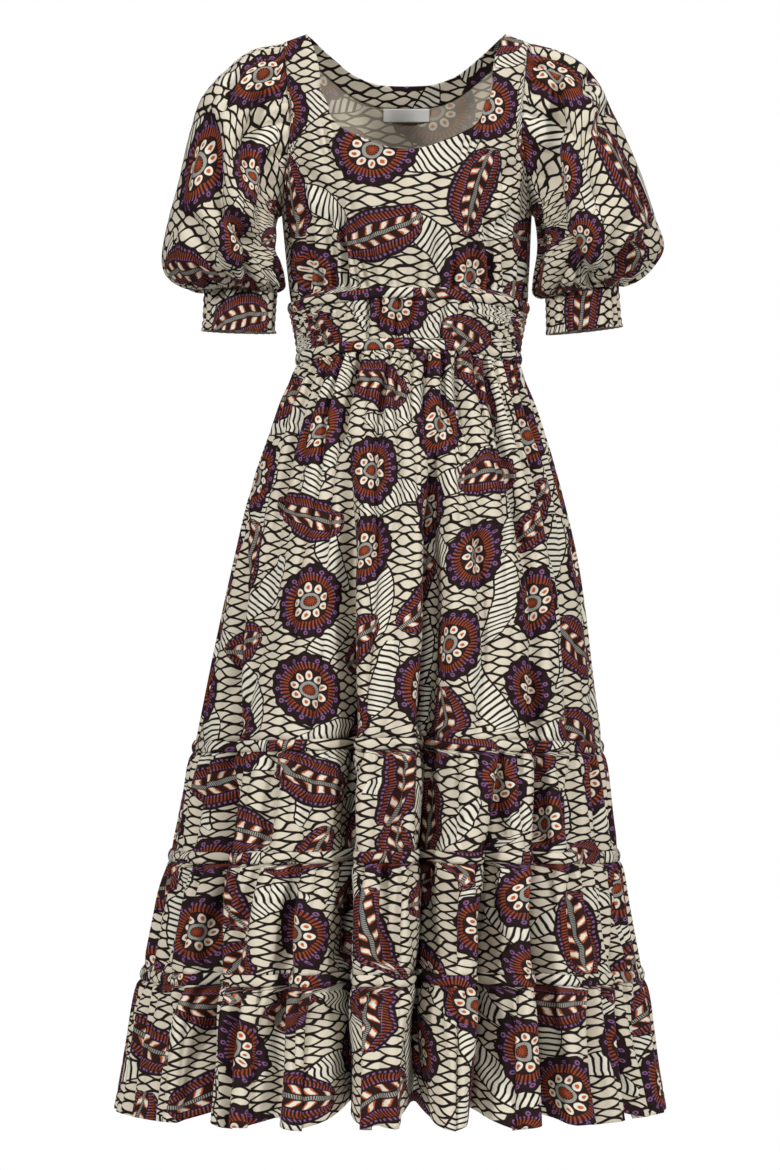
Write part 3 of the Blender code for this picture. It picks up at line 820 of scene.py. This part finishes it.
# %% Cloth materials
THREAD_SCALE = 160.0
WEAVE_HEIGHT = 0.00025
LABEL_COLOUR = linear(240, 239, 235)


def woven_cloth(name, bare, faded, turn, thread_scale, strength, roughness, specular):
    """Woven cotton. bare is its undyed colour, and faded how far the print gives way to it."""
    material = bpy.data.materials.new(name)
    material.use_nodes = True
    tree = material.node_tree
    shader = tree.nodes["Principled BSDF"]
    flat = tree.nodes.new("ShaderNodeUVMap")
    flat.uv_map = UV_LAYER
    turned = tree.nodes.new("ShaderNodeMapping")
    turned.inputs["Rotation"].default_value = (0.0, 0.0, turn)
    tree.links.new(flat.outputs["UV"], turned.inputs["Vector"])
    weave = use_group(tree, WEAVE, turned.outputs["Vector"])
    weave.inputs["Thread Scale"].default_value = thread_scale
    colour = bare
    if faded < 1.0:
        printed = use_group(tree, WAX_PRINT, turned.outputs["Vector"])
        colour = paint(tree, printed.outputs["Color"], bare, faded)
    toned = vector_math(tree, "SCALE", colour)
    tree.links.new(weave.outputs["Tone"], toned.inputs["Scale"])
    tree.links.new(toned.outputs[0], shader.inputs["Base Color"])
    bump = tree.nodes.new("ShaderNodeBump")
    bump.inputs["Distance"].default_value = WEAVE_HEIGHT
    bump.inputs["Strength"].default_value = strength
    tree.links.new(weave.outputs["Height"], bump.inputs["Height"])
    tree.links.new(bump.outputs["Normal"], shader.inputs["Normal"])
    shader.inputs["Roughness"].default_value = roughness
    shader.inputs["Specular IOR Level"].default_value = specular
    return material


RIGHT_SIDE, WRONG_SIDE, TAPE_SIDE, LABEL_SIDE = (woven_cloth(*finish) for finish in (
    ("print_right_side", CREAM, 0.0, 0.0, THREAD_SCALE, 0.6, 0.85, 0.2),
    ("print_wrong_side", CREAM, 0.45, 0.0, THREAD_SCALE, 0.6, 0.9, 0.2),
    ("print_on_tape", CREAM, 0.0, math.radians(4.0), THREAD_SCALE, 0.6, 0.85, 0.2),
    ("label_bare", LABEL_COLOUR, 1.0, 0.0, 2.0 * THREAD_SCALE, 1.0, 0.75, 0.5),
))
BOTH_SIDES = (RIGHT_SIDE, WRONG_SIDE)
print("materials", [m.name for m in (RIGHT_SIDE, WRONG_SIDE, TAPE_SIDE, LABEL_SIDE)])

# %% [markdown]
# ## The body's surface
# The waist and the skirt share one surface: an oval at each height, pushed in by the large
# folds, which are narrower and deeper than in the solids. Where the front and back meet, both
# sets of folds fade into each other.

# %% Body surface
SIDE_BLEND = 0.02
CREASE_SHARE = 0.25


def mean_radius(z, depth):
    """Mean of the half width and one of the depths at the heights z."""
    return 0.5 * (along(BODY, "half", z) + along(BODY, depth, z))


def fold_push(angle, z):
    """How far the large folds push the wall in."""
    half = along(BODY, "half", z)
    middle = along(BODY, "middle", z)
    total = np.zeros(np.broadcast(angle, z).shape)
    for folds, side, depth in ((FRONT_FOLDS, -1.0, "front"), (BACK_FOLDS, 1.0, "back")):
        radius = mean_radius(z, depth)
        here = smooth_step(0.5 + side * np.sin(angle) * radius / SIDE_BLEND)
        for fold in rows_of(folds):
            share = (fold["start"] - z) / (fold["start"] - HEM)
            x = fold["top"] + (fold["hem"] - fold["top"]) * share
            place = side * np.arccos(np.clip((x - middle) / half, -1.0, 1.0))
            gap = np.arctan2(np.sin(angle - place), np.cos(angle - place)) * radius
            growth = smooth_step(share) ** FOLD_GROWTH
            valley = np.exp(-(gap / (FOLD_NARROW * fold["width"] * (0.5 + 0.5 * growth))) ** 2)
            bottom = np.exp(-(gap / FOLD_CREASE) ** 2)
            total += here * FOLD_DEEPER * fold["depth"] * growth * (valley + CREASE_SHARE * bottom)
    return total


def body_surface(angle, z, folded):
    """Points of the body at the angles and heights, with the outward way and the folds' push."""
    angle, z = np.broadcast_arrays(angle, z)
    half = along(BODY, "half", z)
    depth = np.where(np.sin(angle) < 0.0, along(BODY, "front", z), along(BODY, "back", z))
    push = fold_push(angle, z) if folded else np.zeros(angle.shape)
    level = z - along(BODY, "dip", z) * np.cos(angle) ** 2
    out = np.stack([np.cos(angle) / half, np.sin(angle) / depth, np.zeros(angle.shape)], axis=-1)
    out /= np.linalg.norm(out, axis=-1, keepdims=True)
    x = along(BODY, "middle", z) + half * np.cos(angle)
    points = np.stack([x, depth * np.sin(angle), level], axis=-1) - out * push[..., None]
    return points, out, push


def part_angles(part, columns):
    """Angles of the columns of the front, the back or the whole ring, as one row."""
    start, turn = {"front": (math.pi, 1.0), "back": (0.0, 1.0), "ring": (0.0, 2.0)}[part]
    return np.linspace(start, start + turn * math.pi, columns)[None, :]


def side_fade(angle, radius, reach):
    """0 at the side seams and 1 a little away from them."""
    return smooth_step(np.abs(np.sin(angle)) * radius / reach)


def cloth_run(run, height, share=1.0):
    """Distance along the gathered cloth, which is longer than the run that it covers."""
    plain = np.abs(np.diff(run, axis=1))
    steps = plain + share * (np.hypot(plain, np.diff(height, axis=1)) - plain)
    total = np.hstack([np.zeros((len(steps), 1)), np.cumsum(steps, axis=1)])
    return total - total[:, total.shape[1] // 2][:, None]


_, _, hem_push = body_surface(part_angles("front", 5), np.array([[HEM]]), True)
print("deepest hem fold", round(float(hem_push.max()), 4), "m")

# %% [markdown]
# ## Skirt
# Each tier hangs from the tape above it. Close under the tape the cloth is held in small tight
# gathers. They run together into wider waves lower down, so there are three sizes of tucks, all
# broad ridges with narrow valleys: two fade on the way down and the broad one grows. The cloth
# also swells a little below the stitches before it falls.

# %% Skirt tiers
SKIRT_TIERS = table(
    "number columns rows fine   middling broad  fall   flat_top flat_bottom",
    (1, 330, 66, 0.0032, 0.0074, 0.0072, 0.220, 0.60, 0.86),
    (2, 340, 27, 0.0030, 0.0068, 0.0085, 0.095, 1.06, 1.06),
    (3, 360, 28, 0.0030, 0.0070, 0.0090, 0.095, 1.16, 1.16),
    (4, 400, 36, 0.0030, 0.0074, 0.0110, 0.100, 1.32, 1.32),
)
UNDER_TAPE = 0.0012
ROW_SPACING = 1.15
FINE_PITCH, MIDDLING_PITCH, BROAD_PITCH = 0.0115, 0.023, 0.052
FINE_FALL = 0.026
BROAD_RISE = 0.045
SWELL_HEIGHT = 0.0030
SWELL_BELOW = 0.024
HEM_TURN = 0.020
HEM_RISE = 0.075
STITCH_DEPTH, STITCH_REACH = 0.0005, 0.0018
PUCKER_HEIGHT, PUCKER_REACH, PUCKER_PITCH = 0.00025, 0.006, 0.007


def gathers(run, below, above, tier, seed):
    """Height of the gathers at a distance below the stitches and above the next ones."""
    fine = tucks(run, FINE_PITCH, seed) * tier["fine"] * np.exp(-below / FINE_FALL)
    middling = tucks(run + 0.004 * np.sin(below * 31.0), MIDDLING_PITCH, seed + 1)
    middling = middling * tier["middling"] * np.exp(-below / tier["fall"])
    broad = tucks(run + 0.006 * np.sin(below * 17.0), BROAD_PITCH, seed + 2)
    broad = broad * tier["broad"] * smooth_step(below / BROAD_RISE)
    swell = SWELL_HEIGHT * (below / SWELL_BELOW) * np.exp(1.0 - below / SWELL_BELOW)
    held = 0.06 + 0.94 * smooth_step(below / 0.007)
    return (fine + middling) * held + (broad + swell) * (0.05 + 0.95 * smooth_step(above / 0.018))


def skirt_tier(row, part):
    number = int(row["number"])
    behind = part == "back"
    top = WAIST_BOTTOM if number == 1 else TIER_TAPES[number - 2] - TAPE_WIDTH
    last = number == len(SKIRT_TIERS["number"])
    bottom = HEM if last else TIER_TAPES[number - 1]
    share = np.linspace(0.0, 1.0, int(row["rows"]))[:, None]
    reach = bottom - top - (0.0 if last else UNDER_TAPE) - UNDER_TAPE
    z = top + UNDER_TAPE + reach * share ** ROW_SPACING
    angle = part_angles(part, int(row["columns"]))
    points, out, push = body_surface(angle, z, True)
    radius = mean_radius(z, "front")
    run = angle * radius.mean()
    above = np.full_like(z, 1.0) if last else z - bottom
    height = gathers(run, np.maximum(top - z, 0.0), above, row, 40 + 10 * number + 5 * behind)
    height = height * side_fade(angle, radius, 0.012)
    if last:
        points[..., 2] += HEM_LIFT * push * smooth_step((HEM + HEM_RISE - z) / HEM_RISE)
        from_stitch = z - HEM - HEM_TURN
        pucker = PUCKER_HEIGHT * pleats(run, PUCKER_PITCH, 90 + behind)
        height = height - STITCH_DEPTH * np.exp(-(from_stitch / STITCH_REACH) ** 2)
        height = height + pucker * np.exp(-(from_stitch / PUCKER_REACH) ** 2)
    points = raised(points, height, out)
    length = column_lengths(points).mean(axis=1)[:, None]
    wide = row["flat_top"] + (row["flat_bottom"] - row["flat_top"]) * share
    u = (row_shares(points) - 0.5) * wide + 1.7 * number + 0.9 * behind
    uv = (u, -length - 0.63 * number)
    piece = cloth(f"skirt_tier_{number}_{part}", points, uv, BOTH_SIDES, out)


for tier_row in rows_of(SKIRT_TIERS):
    for part_name in ("front", "back"):
        skirt_tier(tier_row, part_name)

# %% [markdown]
# ## Tapes
# The tiers and the waist are joined by narrow tapes of the same cloth. A tape is drawn in by its
# stitches, so it domes across its width and puckers along its length. It lies just over the
# edges of its neighbours.

# %% Tapes
TAPE_PROUD = 0.0011
TAPE_LAP = 0.0006
TAPE_DOME = 0.0017
TAPE_PUCKER = 0.00050
TIER_TAPE_LENGTHS = (1.55, 1.80, 2.10)


def tape(name, top, width, columns, folded, flat_length, seed):
    """A tape all round the body, a little wider than the gap that it covers."""
    z = (top - np.linspace(-TAPE_LAP, width + TAPE_LAP, 6))[:, None]
    angle = part_angles("ring", columns)
    points, out, _ = body_surface(angle, z, folded)
    across = (top - z) / width
    radius = float(np.mean(mean_radius(z, "front")))
    run = angle * radius
    dome = TAPE_DOME * np.clip(1.0 - (2.0 * across - 1.0) ** 2, 0.0, 1.0)
    puckers = pleats(run + 0.35 * (top - z), 0.013, seed) + 0.5 * pleats(run, 0.034, seed + 1)
    puckers[:, -1] = puckers[:, 0]
    from_join = smooth_step(np.minimum(angle, 2.0 * math.pi - angle) * radius / 0.006)
    points = raised(points, TAPE_PROUD + (dome + TAPE_PUCKER * puckers) * from_join, out)
    uv = (np.linspace(0.0, flat_length, columns)[None, :] + seed * 0.13, -across * width + seed * 0.37)
    piece = cloth(name, points, uv, (TAPE_SIDE, WRONG_SIDE), out)


tape("waist_tape_upper", WAIST_TOP, WAIST_TAPE_WIDTH, 520, False, 0.72, 11)
tape("waist_tape_lower", WAIST_BOTTOM + TAPE_WIDTH, TAPE_WIDTH, 520, False, 0.70, 12)
for number, (tape_top, tape_length) in enumerate(zip(TIER_TAPES, TIER_TAPE_LENGTHS), start=1):
    tape(f"tier_tape_{number}", tape_top, TAPE_WIDTH, 700, True, tape_length, 20 + number)

# %% [markdown]
# ## Shirred waist
# Rows of elastic thread draw the waist panel in. Between the rows the cloth puffs out, and along
# them it is pinched. The shirring is tight at the sides and loosens into soft gathers in the
# middle of the front.

# %% Waist panels
PANEL_FULLNESS = 1.12
PANEL_PROUD = 0.0008
PANEL_RADIUS = 0.86 * float(along(BODY, "half", -0.31))
LOOSE_CENTRE = 0.004
LOOSE_HALF_WIDTH = 0.045


def shirring(run, depth, pitch, row_pitch, amplitude, seed):
    """Pinched ridges: run goes round the piece and depth goes across the elastic rows."""
    between = np.abs(np.sin(math.pi * depth / row_pitch))
    ridges = tucks(run + 0.0009 * np.sin(depth * 420.0), pitch, seed)
    return amplitude * ridges * (0.55 + 0.45 * between) + 0.30 * amplitude * between


def waist_panel(part, seed):
    top = WAIST_TOP - WAIST_TAPE_WIDTH + UNDER_TAPE
    bottom = WAIST_BOTTOM + TAPE_WIDTH - UNDER_TAPE
    z = np.linspace(top, bottom, 36)[:, None]
    angle = part_angles(part, 390)
    points, out, _ = body_surface(angle, z, False)
    run = angle * PANEL_RADIUS
    tight = smooth_step((np.abs(points[..., 0] - LOOSE_CENTRE) - LOOSE_HALF_WIDTH) / 0.05)
    height = shirring(run, top - z, 0.0086, 0.0075, 0.0026, seed) * tight
    loose = 0.0030 * tucks(run + 0.002 * np.sin(z * 90.0), 0.0155, seed + 1)
    height = height + (loose + 0.0008 * pleats(run, 0.0065, seed + 2)) * (1.0 - tight)
    height = height * side_fade(angle, PANEL_RADIUS, 0.006)
    edge = smooth_step(np.minimum(top - z, z - bottom) / 0.004)
    points = raised(points, height * (0.3 + 0.7 * edge) + PANEL_PROUD * edge, out)
    u = cloth_run(np.broadcast_to(run, height.shape), height)
    uv = (u + 0.35 * seed, z * PANEL_FULLNESS)
    piece = cloth("waist_panel_" + part, points, uv, BOTH_SIDES, out)


waist_panel("front", 5)
waist_panel("back", 9)

# %% [markdown]
# ## Bodice
# The bodice's edges are smooth curves through the armhole and neck tables. Every column runs from
# the waist up to its place on that edge. Gathers rise from the waist tape, and small creases
# spring from the armholes.

# %% Bodice
ARM_COLUMNS, SHOULDER_COLUMNS, NECK_COLUMNS = 34, 10, 68
BODICE_RUN = 0.115
NECK_STITCH = 0.0055
NECK_GATHERS = ((-0.0825, -0.128, 0.25, 31), (0.0715, -0.136, -0.25, 32))


def armhole_edge(side, index):
    """Across and height on the armhole's edge. index 0 is the underarm, 6 the shoulder."""
    return [curve(np.arange(7), ARMHOLE[column], index) for column in (side, "z")]


def shoulder_height(across):
    past = (np.abs(across) - SHOULDER_NECK) / (SHOULDER_ARM - SHOULDER_NECK)
    return -SHOULDER_DROP * np.maximum(0.0, past)


def bodice_surface(share, z, side):
    """Points of the bodice at shares of the half width, with the outward way."""
    half = along(BODY, "half", z)
    across = share * half
    below = np.maximum(0.0, shoulder_height(across) - z) / SHOULDER_ROUND
    above = 1.0 - np.minimum(below, 1.0)
    depth = along(BODY, side, z) * np.sqrt(np.maximum(0.0, 1.0 - above ** 2))
    turn = np.sqrt(np.maximum(0.0, 1.0 - share * share))
    sign = -1.0 if side == "front" else 1.0
    points = np.stack([along(BODY, "middle", z) + across, sign * depth * turn, z], axis=-1)
    out = np.stack([share / half, sign * turn / np.maximum(depth, 0.02), 0.35 * above], axis=-1)
    return points, out / np.linalg.norm(out, axis=-1, keepdims=True)


def bodice_columns(side):
    """For each column: its share at the waist, and across and height on the upper edge."""
    neck = NECK_FRONT if side == "front" else NECK_BACK
    index = np.linspace(0.0, 6.0, ARM_COLUMNS)
    arm_x, arm_z = armhole_edge(side, index)
    between = np.linspace(0.0, 1.0, SHOULDER_COLUMNS)[1:-1]
    shoulder = SHOULDER_ARM + (SHOULDER_NECK - SHOULDER_ARM) * between
    at_neck = np.linspace(0.0, 9.0, NECK_COLUMNS)
    mirrored = np.arange(11)
    neck_x = curve(mirrored, np.append(neck["across"], -neck["across"][-2]), at_neck)
    neck_z = curve(mirrored, np.append(neck["z"], neck["z"][-2]), at_neck)
    waist = np.concatenate([
        np.interp(index, np.arange(7), ARMHOLE["waist"]),
        ARMHOLE["waist"][-1] + (NECK_AT_WAIST[0] - ARMHOLE["waist"][-1]) * between,
        np.interp(at_neck, np.arange(10), NECK_AT_WAIST),
    ])
    across = np.concatenate([arm_x, shoulder, neck_x])
    z = np.concatenate([arm_z, shoulder_height(shoulder), neck_z])
    rows = ((-1.0, waist), (-1.0, across), (1.0, z))
    return [np.concatenate([sign * values, values[-2::-1]]) for sign, values in rows]


def edge_distance(points, row):
    """Straight distance of every point from the nearest point of a row of the grid."""
    edge = points[row][None, ::2]
    squares = [((line[:, None] - edge) ** 2).sum(axis=-1).min(axis=1) for line in points]
    return np.sqrt(np.array(squares))


def neck_gathers(points):
    """Two small patches of gathers that hang from the corners of the front neckline."""
    total = np.zeros(points.shape[:2])
    for x, z, lean, seed in NECK_GATHERS:
        across = points[..., 0] - x - lean * (z - points[..., 2])
        down = (z - points[..., 2]) / 0.016
        patch = np.exp(-(across / 0.013) ** 2 - np.maximum(down, 0.0)) * smooth_step(1.6 + down)
        total += 0.0024 * tucks(across, 0.0080, seed) * patch
    return total


def bodice(side, seed):
    waist, across, top_z = bodice_columns(side)
    top_share = np.clip(across / along(BODY, "half", top_z), -1.0, 1.0)
    bottom = WAIST_TOP - UNDER_TAPE
    t = (1.0 - (1.0 - np.linspace(0.0, 1.0, 84)) ** ROW_SPACING)[:, None]
    share = waist + (top_share - waist) * t
    waist_z = bottom - along(BODY, "dip", bottom) * waist * waist
    z = waist_z + (top_z - waist_z) * t
    points, out = bodice_surface(share, z, side)
    run = np.arcsin(np.clip(share, -1.0, 1.0)) * BODICE_RUN
    up = z - waist_z
    side_gather = 0.50 + 0.50 * smooth_step((np.abs(share) - 0.25) / 0.3)
    height = tucks(run[:1], 0.0105, seed) * 0.0034 * np.exp(-up / 0.030)
    height = height + tucks(run[:1], 0.021, seed + 1) * 0.0062 * np.exp(-up / 0.070) * side_gather
    from_top = edge_distance(points, -1)
    calm = smooth_step((from_top - FACING_DEPTH) / 0.02)
    height = height + pleats(run, 0.050, seed + 2) * 0.0034 * smooth_step(up / 0.05) * calm
    arm = np.exp(-from_top / 0.012)
    high = smooth_step((z + 0.20) / 0.05) * smooth_step((np.abs(points[..., 0]) - 0.10) / 0.012)
    height = height + 0.0026 * pleats(z, 0.0095, seed + 3) * arm * high
    height = height * (0.06 + 0.94 * smooth_step(up / 0.006))
    height = height - crease_field(points, BODICE_CREASES, 2.6)
    if side == "front":
        height = height + neck_gathers(points)
    neck = smooth_step((0.112 - np.abs(points[..., 0])) / 0.006)
    height = height - 0.00045 * np.exp(-((from_top - NECK_STITCH) / 0.0012) ** 2) * neck
    flat_edge = 0.2 + 0.8 * smooth_step(from_top / 0.004)
    height = height * flat_edge * smooth_step(np.abs(points[..., 1]) / 0.006)
    points = raised(points, height, out)
    uv = (cloth_run(run, height, 0.45) + 2.3 + seed * 0.11, z * 1.03 + 0.21 * seed)
    piece = cloth("bodice_" + side, points, uv, BOTH_SIDES, out)


bodice("front", 61)
bodice("back", 71)

# %% [markdown]
# ## Back neck facing and label
# The inside of the back neck is turned with a facing of the same cloth, right side out. A small
# bare label hangs from it.

# %% Facing and label
FACING_PROUD = 0.0022
LABEL_PROUD = 0.0034
EASE = 0.0004


def inside_back(x, z, proud, wave):
    """Points a little inside the back of the bodice, with the inward way. The lower edge waves."""
    x, z = np.broadcast_arrays(x, z)
    share = np.clip(x / along(BODY, "half", z), -1.0, 1.0)
    points, out = bodice_surface(share, z, "back")
    hang = np.linspace(0.0, 1.0, len(z))[:, None]
    return points - out * (proud + EASE * wave * hang)[..., None], -out


def neck_facing():
    _, across, top_z = bodice_columns("back")
    keep = np.abs(across) < SHOULDER_NECK - 0.004
    x = across[keep][None, :]
    z = top_z[keep][None, :] - np.linspace(0.0006, FACING_DEPTH, 14)[:, None]
    points, inward = inside_back(x, z, FACING_PROUD, pleats(x, 0.012, 15))
    uv = (x + 3.1, z + 0.4)
    piece = cloth("neck_facing_back", points, uv, BOTH_SIDES, inward)


def bare_label():
    low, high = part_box("label")
    x = np.linspace(low[0], high[0], 41)[None, :]
    z = np.linspace(high[2] + 0.0005, low[2], 13)[:, None]
    points, inward = inside_back(x, z, LABEL_PROUD, np.sin(x * 95.0))
    piece = cloth("label", points, (x, z), (LABEL_SIDE,), inward)


neck_facing()
bare_label()

# %% [markdown]
# ## Sleeves
# A sleeve is a tube through oval rings. The first ring is the armhole's edge itself, so sleeve
# and bodice meet. The rings between are joined by smooth curves. Gathers spring from the
# armhole and from the cuff, and die out into the full puff.

# %% Sleeves
RING_COLUMNS = 241
SLEEVE_RADIUS = 0.080
HEAD_GATHERS = ((0.0115, 0.0032, 0.028), (0.026, 0.0066, 0.070))
FOOT_GATHERS = ((0.014, 0.0036, 0.024), (0.034, 0.0070, 0.055))
CUFF_RADIUS = 0.036
CUFF_PRINT = 0.34


def armhole_ring(sign, turn):
    """The armhole's edge at each turn: shoulder at 0, underarm at half a turn, over the front."""
    ring = np.zeros((len(turn), 3))
    ahead = turn <= math.pi
    for side, here in (("front", ahead), ("back", ~ahead)):
        across, z = armhole_edge(side, np.abs(math.pi - turn[here]) / math.pi * 6.0)
        share = np.clip(sign * across / along(BODY, "half", z), -1.0, 1.0)
        ring[here] = bodice_surface(share, z, side)[0]
    return ring


def section_rings(sections, sign, turn):
    """An oval ring for each row of a sleeve or cuff table."""
    rings = []
    for row in rows_of(sections):
        outer = np.array([sign * row["out_x"], 0.0, row["out_z"]])
        inner = np.array([sign * row["in_x"], 0.0, row["in_z"]])
        ring = (outer + inner) / 2.0 + np.cos(turn)[:, None] * (outer - inner) / 2.0
        ring[:, 1] -= row["depth"] * np.sin(turn)
        rings.append(ring)
    return rings


def loft(rings, shares):
    """Smooth curves through the rings, read at the shares, which count rings from 0."""
    rings = np.stack(rings)
    slopes = np.gradient(rings, axis=0)
    i = np.clip(shares.astype(int), 0, len(rings) - 2)
    return cubic((shares - i)[:, None, None], rings[i], slopes[i], rings[i + 1], slopes[i + 1])


def ring_out(points):
    """Outward way from the middle of each ring."""
    out = points - points[:, :-1].mean(axis=1, keepdims=True)
    return out / np.linalg.norm(out, axis=-1, keepdims=True)


def closed(shape, turn, radius, pitch, seed):
    """Pleats or tucks round a ring, without a jump where the ring closes."""
    value = shape(turn * radius, pitch, seed)
    fade = smooth_step(turn * radius / pitch)
    return value * fade + value[..., -1:] * (1.0 - fade)


def sleeve_gathers(turn, sizes, away, seed):
    """Tucks of each size, which die out away from the seam."""
    total = np.zeros(away.shape)
    for k, (pitch, tall, fall) in enumerate(sizes):
        total += closed(tucks, turn, SLEEVE_RADIUS, pitch, seed + k) * tall * np.exp(-away / fall)
    return total


def joined(points, height, out):
    """The ring's sheet moved out by the height, with its last column on its first."""
    points = raised(points, height, out)
    points[:, -1] = points[:, 0]
    return points


def sleeve(name, sections, sign, creases, seed):
    turn = np.linspace(0.0, 2.0 * math.pi, RING_COLUMNS)
    rings = [armhole_ring(sign, turn)] + section_rings(sections, sign, turn)
    points = loft(rings, np.linspace(0.0, len(rings) - 1.0, 80))
    out = ring_out(points)
    down = column_lengths(points)
    left = down[-1:] - down
    turn = turn[None, :]
    outer = 0.5 + 0.5 * np.cos(turn)
    head = sleeve_gathers(turn, HEAD_GATHERS, down, seed) * (0.35 + 0.65 * outer)
    foot = sleeve_gathers(turn, FOOT_GATHERS, left, seed + 2) * (0.75 + 0.25 * outer)
    broad = closed(pleats, turn, SLEEVE_RADIUS, 0.075, seed + 4) * 0.0050
    height = head + foot + broad * smooth_step(down / 0.05) * smooth_step(left / 0.04)
    height = height - crease_field(points, creases, 3.0) * smooth_step(left / 0.012)
    held = (0.08 + 0.92 * smooth_step(down / 0.008)) * (0.1 + 0.9 * smooth_step(left / 0.006))
    height = height * held
    u = cloth_run(np.broadcast_to(turn * 0.088, height.shape), height, 0.6)
    mean_down = down.mean(axis=1)[:, None]
    uv = (u + 4.0 + sign, 0.7 * sign - mean_down)
    piece = cloth(name, joined(points, height, out), uv, BOTH_SIDES, out)


def cuff(name, edges, sign, seed):
    turn = np.linspace(0.0, 2.0 * math.pi, RING_COLUMNS)
    points = loft(section_rings(edges, sign, turn), np.linspace(0.0, 1.0, 30))
    out = ring_out(points)
    down = column_lengths(points)
    turn = turn[None, :]
    height = shirring(turn * CUFF_RADIUS, down + 0.002, 0.0085, 0.0085, 0.0021, seed)
    height[:, -8:] += (height[:, :1] - height[:, -1:]) * np.linspace(0.0, 1.0, 8)[None, :] ** 2
    frill = 0.0010 * smooth_step((down - down[-1:] + 0.006) / 0.006)
    height = height + frill * (1.0 + closed(pleats, turn, CUFF_RADIUS, 0.008, seed + 1))
    uv = (np.linspace(0.0, CUFF_PRINT, RING_COLUMNS)[None, :] + 6.0 + sign, 0.4 * sign - down)
    piece = cloth(name, joined(points, height, out), uv, BOTH_SIDES, out)


sleeve("sleeve_right", SLEEVE_RIGHT, -1.0, SLEEVE_RIGHT_CREASES, 101)
sleeve("sleeve_left", SLEEVE_LEFT, 1.0, SLEEVE_LEFT_CREASES, 111)
cuff("cuff_right", CUFF_RIGHT, -1.0, 121)
cuff("cuff_left", CUFF_LEFT, 1.0, 131)

# %% [markdown]
# ## Floor and light
# The dress hangs above a pale floor in studio light: a lamp on each side of the camera, a smaller
# one high behind it, one above the dress and one behind it. The surround looks white but lights
# the folds only faintly, so they stay dark inside.

# %% Floor and light
FLOOR_Z = -1.47
FLOOR_RADIUS = 1.5
FLOOR_CORNERS = 96
FLOOR_COLOUR = (0.86, 0.86, 0.85, 1.0)
SURROUND_LIGHT = 0.04
LAMP_AIM = (0.0, 0.0, -0.6)

floor_mesh = bpy.data.meshes.new("floor")
spokes = [2.0 * math.pi * k / FLOOR_CORNERS for k in range(FLOOR_CORNERS)]
floor_points = [(FLOOR_RADIUS * math.cos(a), FLOOR_RADIUS * math.sin(a), FLOOR_Z) for a in spokes]
floor_mesh.from_pydata(floor_points, [], [list(range(FLOOR_CORNERS))])
floor_material = bpy.data.materials.new("pale_floor")
floor_material.use_nodes = True
floor_shader = floor_material.node_tree.nodes["Principled BSDF"]
floor_shader.inputs["Base Color"].default_value = FLOOR_COLOUR
floor_shader.inputs["Roughness"].default_value = 0.7
floor_mesh.materials.append(floor_material)
placed("floor", floor_mesh)

world = bpy.data.worlds.new("studio")
bpy.context.scene.world = world
world.use_nodes = True
sky = world.node_tree
background = sky.nodes["Background"]
background.inputs["Color"].default_value = (1.0, 1.0, 1.0, 1.0)
seen = sky.nodes.new("ShaderNodeLightPath")
strength = sky.nodes.new("ShaderNodeMapRange")
sky.links.new(seen.outputs["Is Camera Ray"], strength.inputs["Value"])
strength.inputs["To Min"].default_value = SURROUND_LIGHT
strength.inputs["To Max"].default_value = 1.0
sky.links.new(strength.outputs["Result"], background.inputs["Strength"])


def soft_lamp(name, place, width, height, power):
    data = bpy.data.lights.new(name, "AREA")
    data.shape = "RECTANGLE"
    data.size = width
    data.size_y = height
    data.energy = power
    lamp = placed(name, data)
    lamp.location = place
    aim = Vector(LAMP_AIM) - Vector(place)
    lamp.rotation_euler = aim.to_track_quat("-Z", "Y").to_euler()
    return lamp


LAMPS = (
    soft_lamp("lamp_left", (-4.7, -4.7, 2.6), 1.1, 1.1, 268.0),
    soft_lamp("lamp_right", (4.9, -4.5, 2.2), 1.1, 1.1, 286.0),
    soft_lamp("lamp_front", (-0.6, -6.0, 3.4), 0.8, 0.8, 118.0),
    soft_lamp("lamp_top", (0.2, -1.2, 2.2), 1.2, 1.0, 14.0),
    soft_lamp("lamp_back", (0.9, 4.2, 0.9), 1.6, 1.6, 170.0),
)
bpy.context.scene.view_settings.view_transform = "Standard"
print("lamps", [lamp.name for lamp in LAMPS])
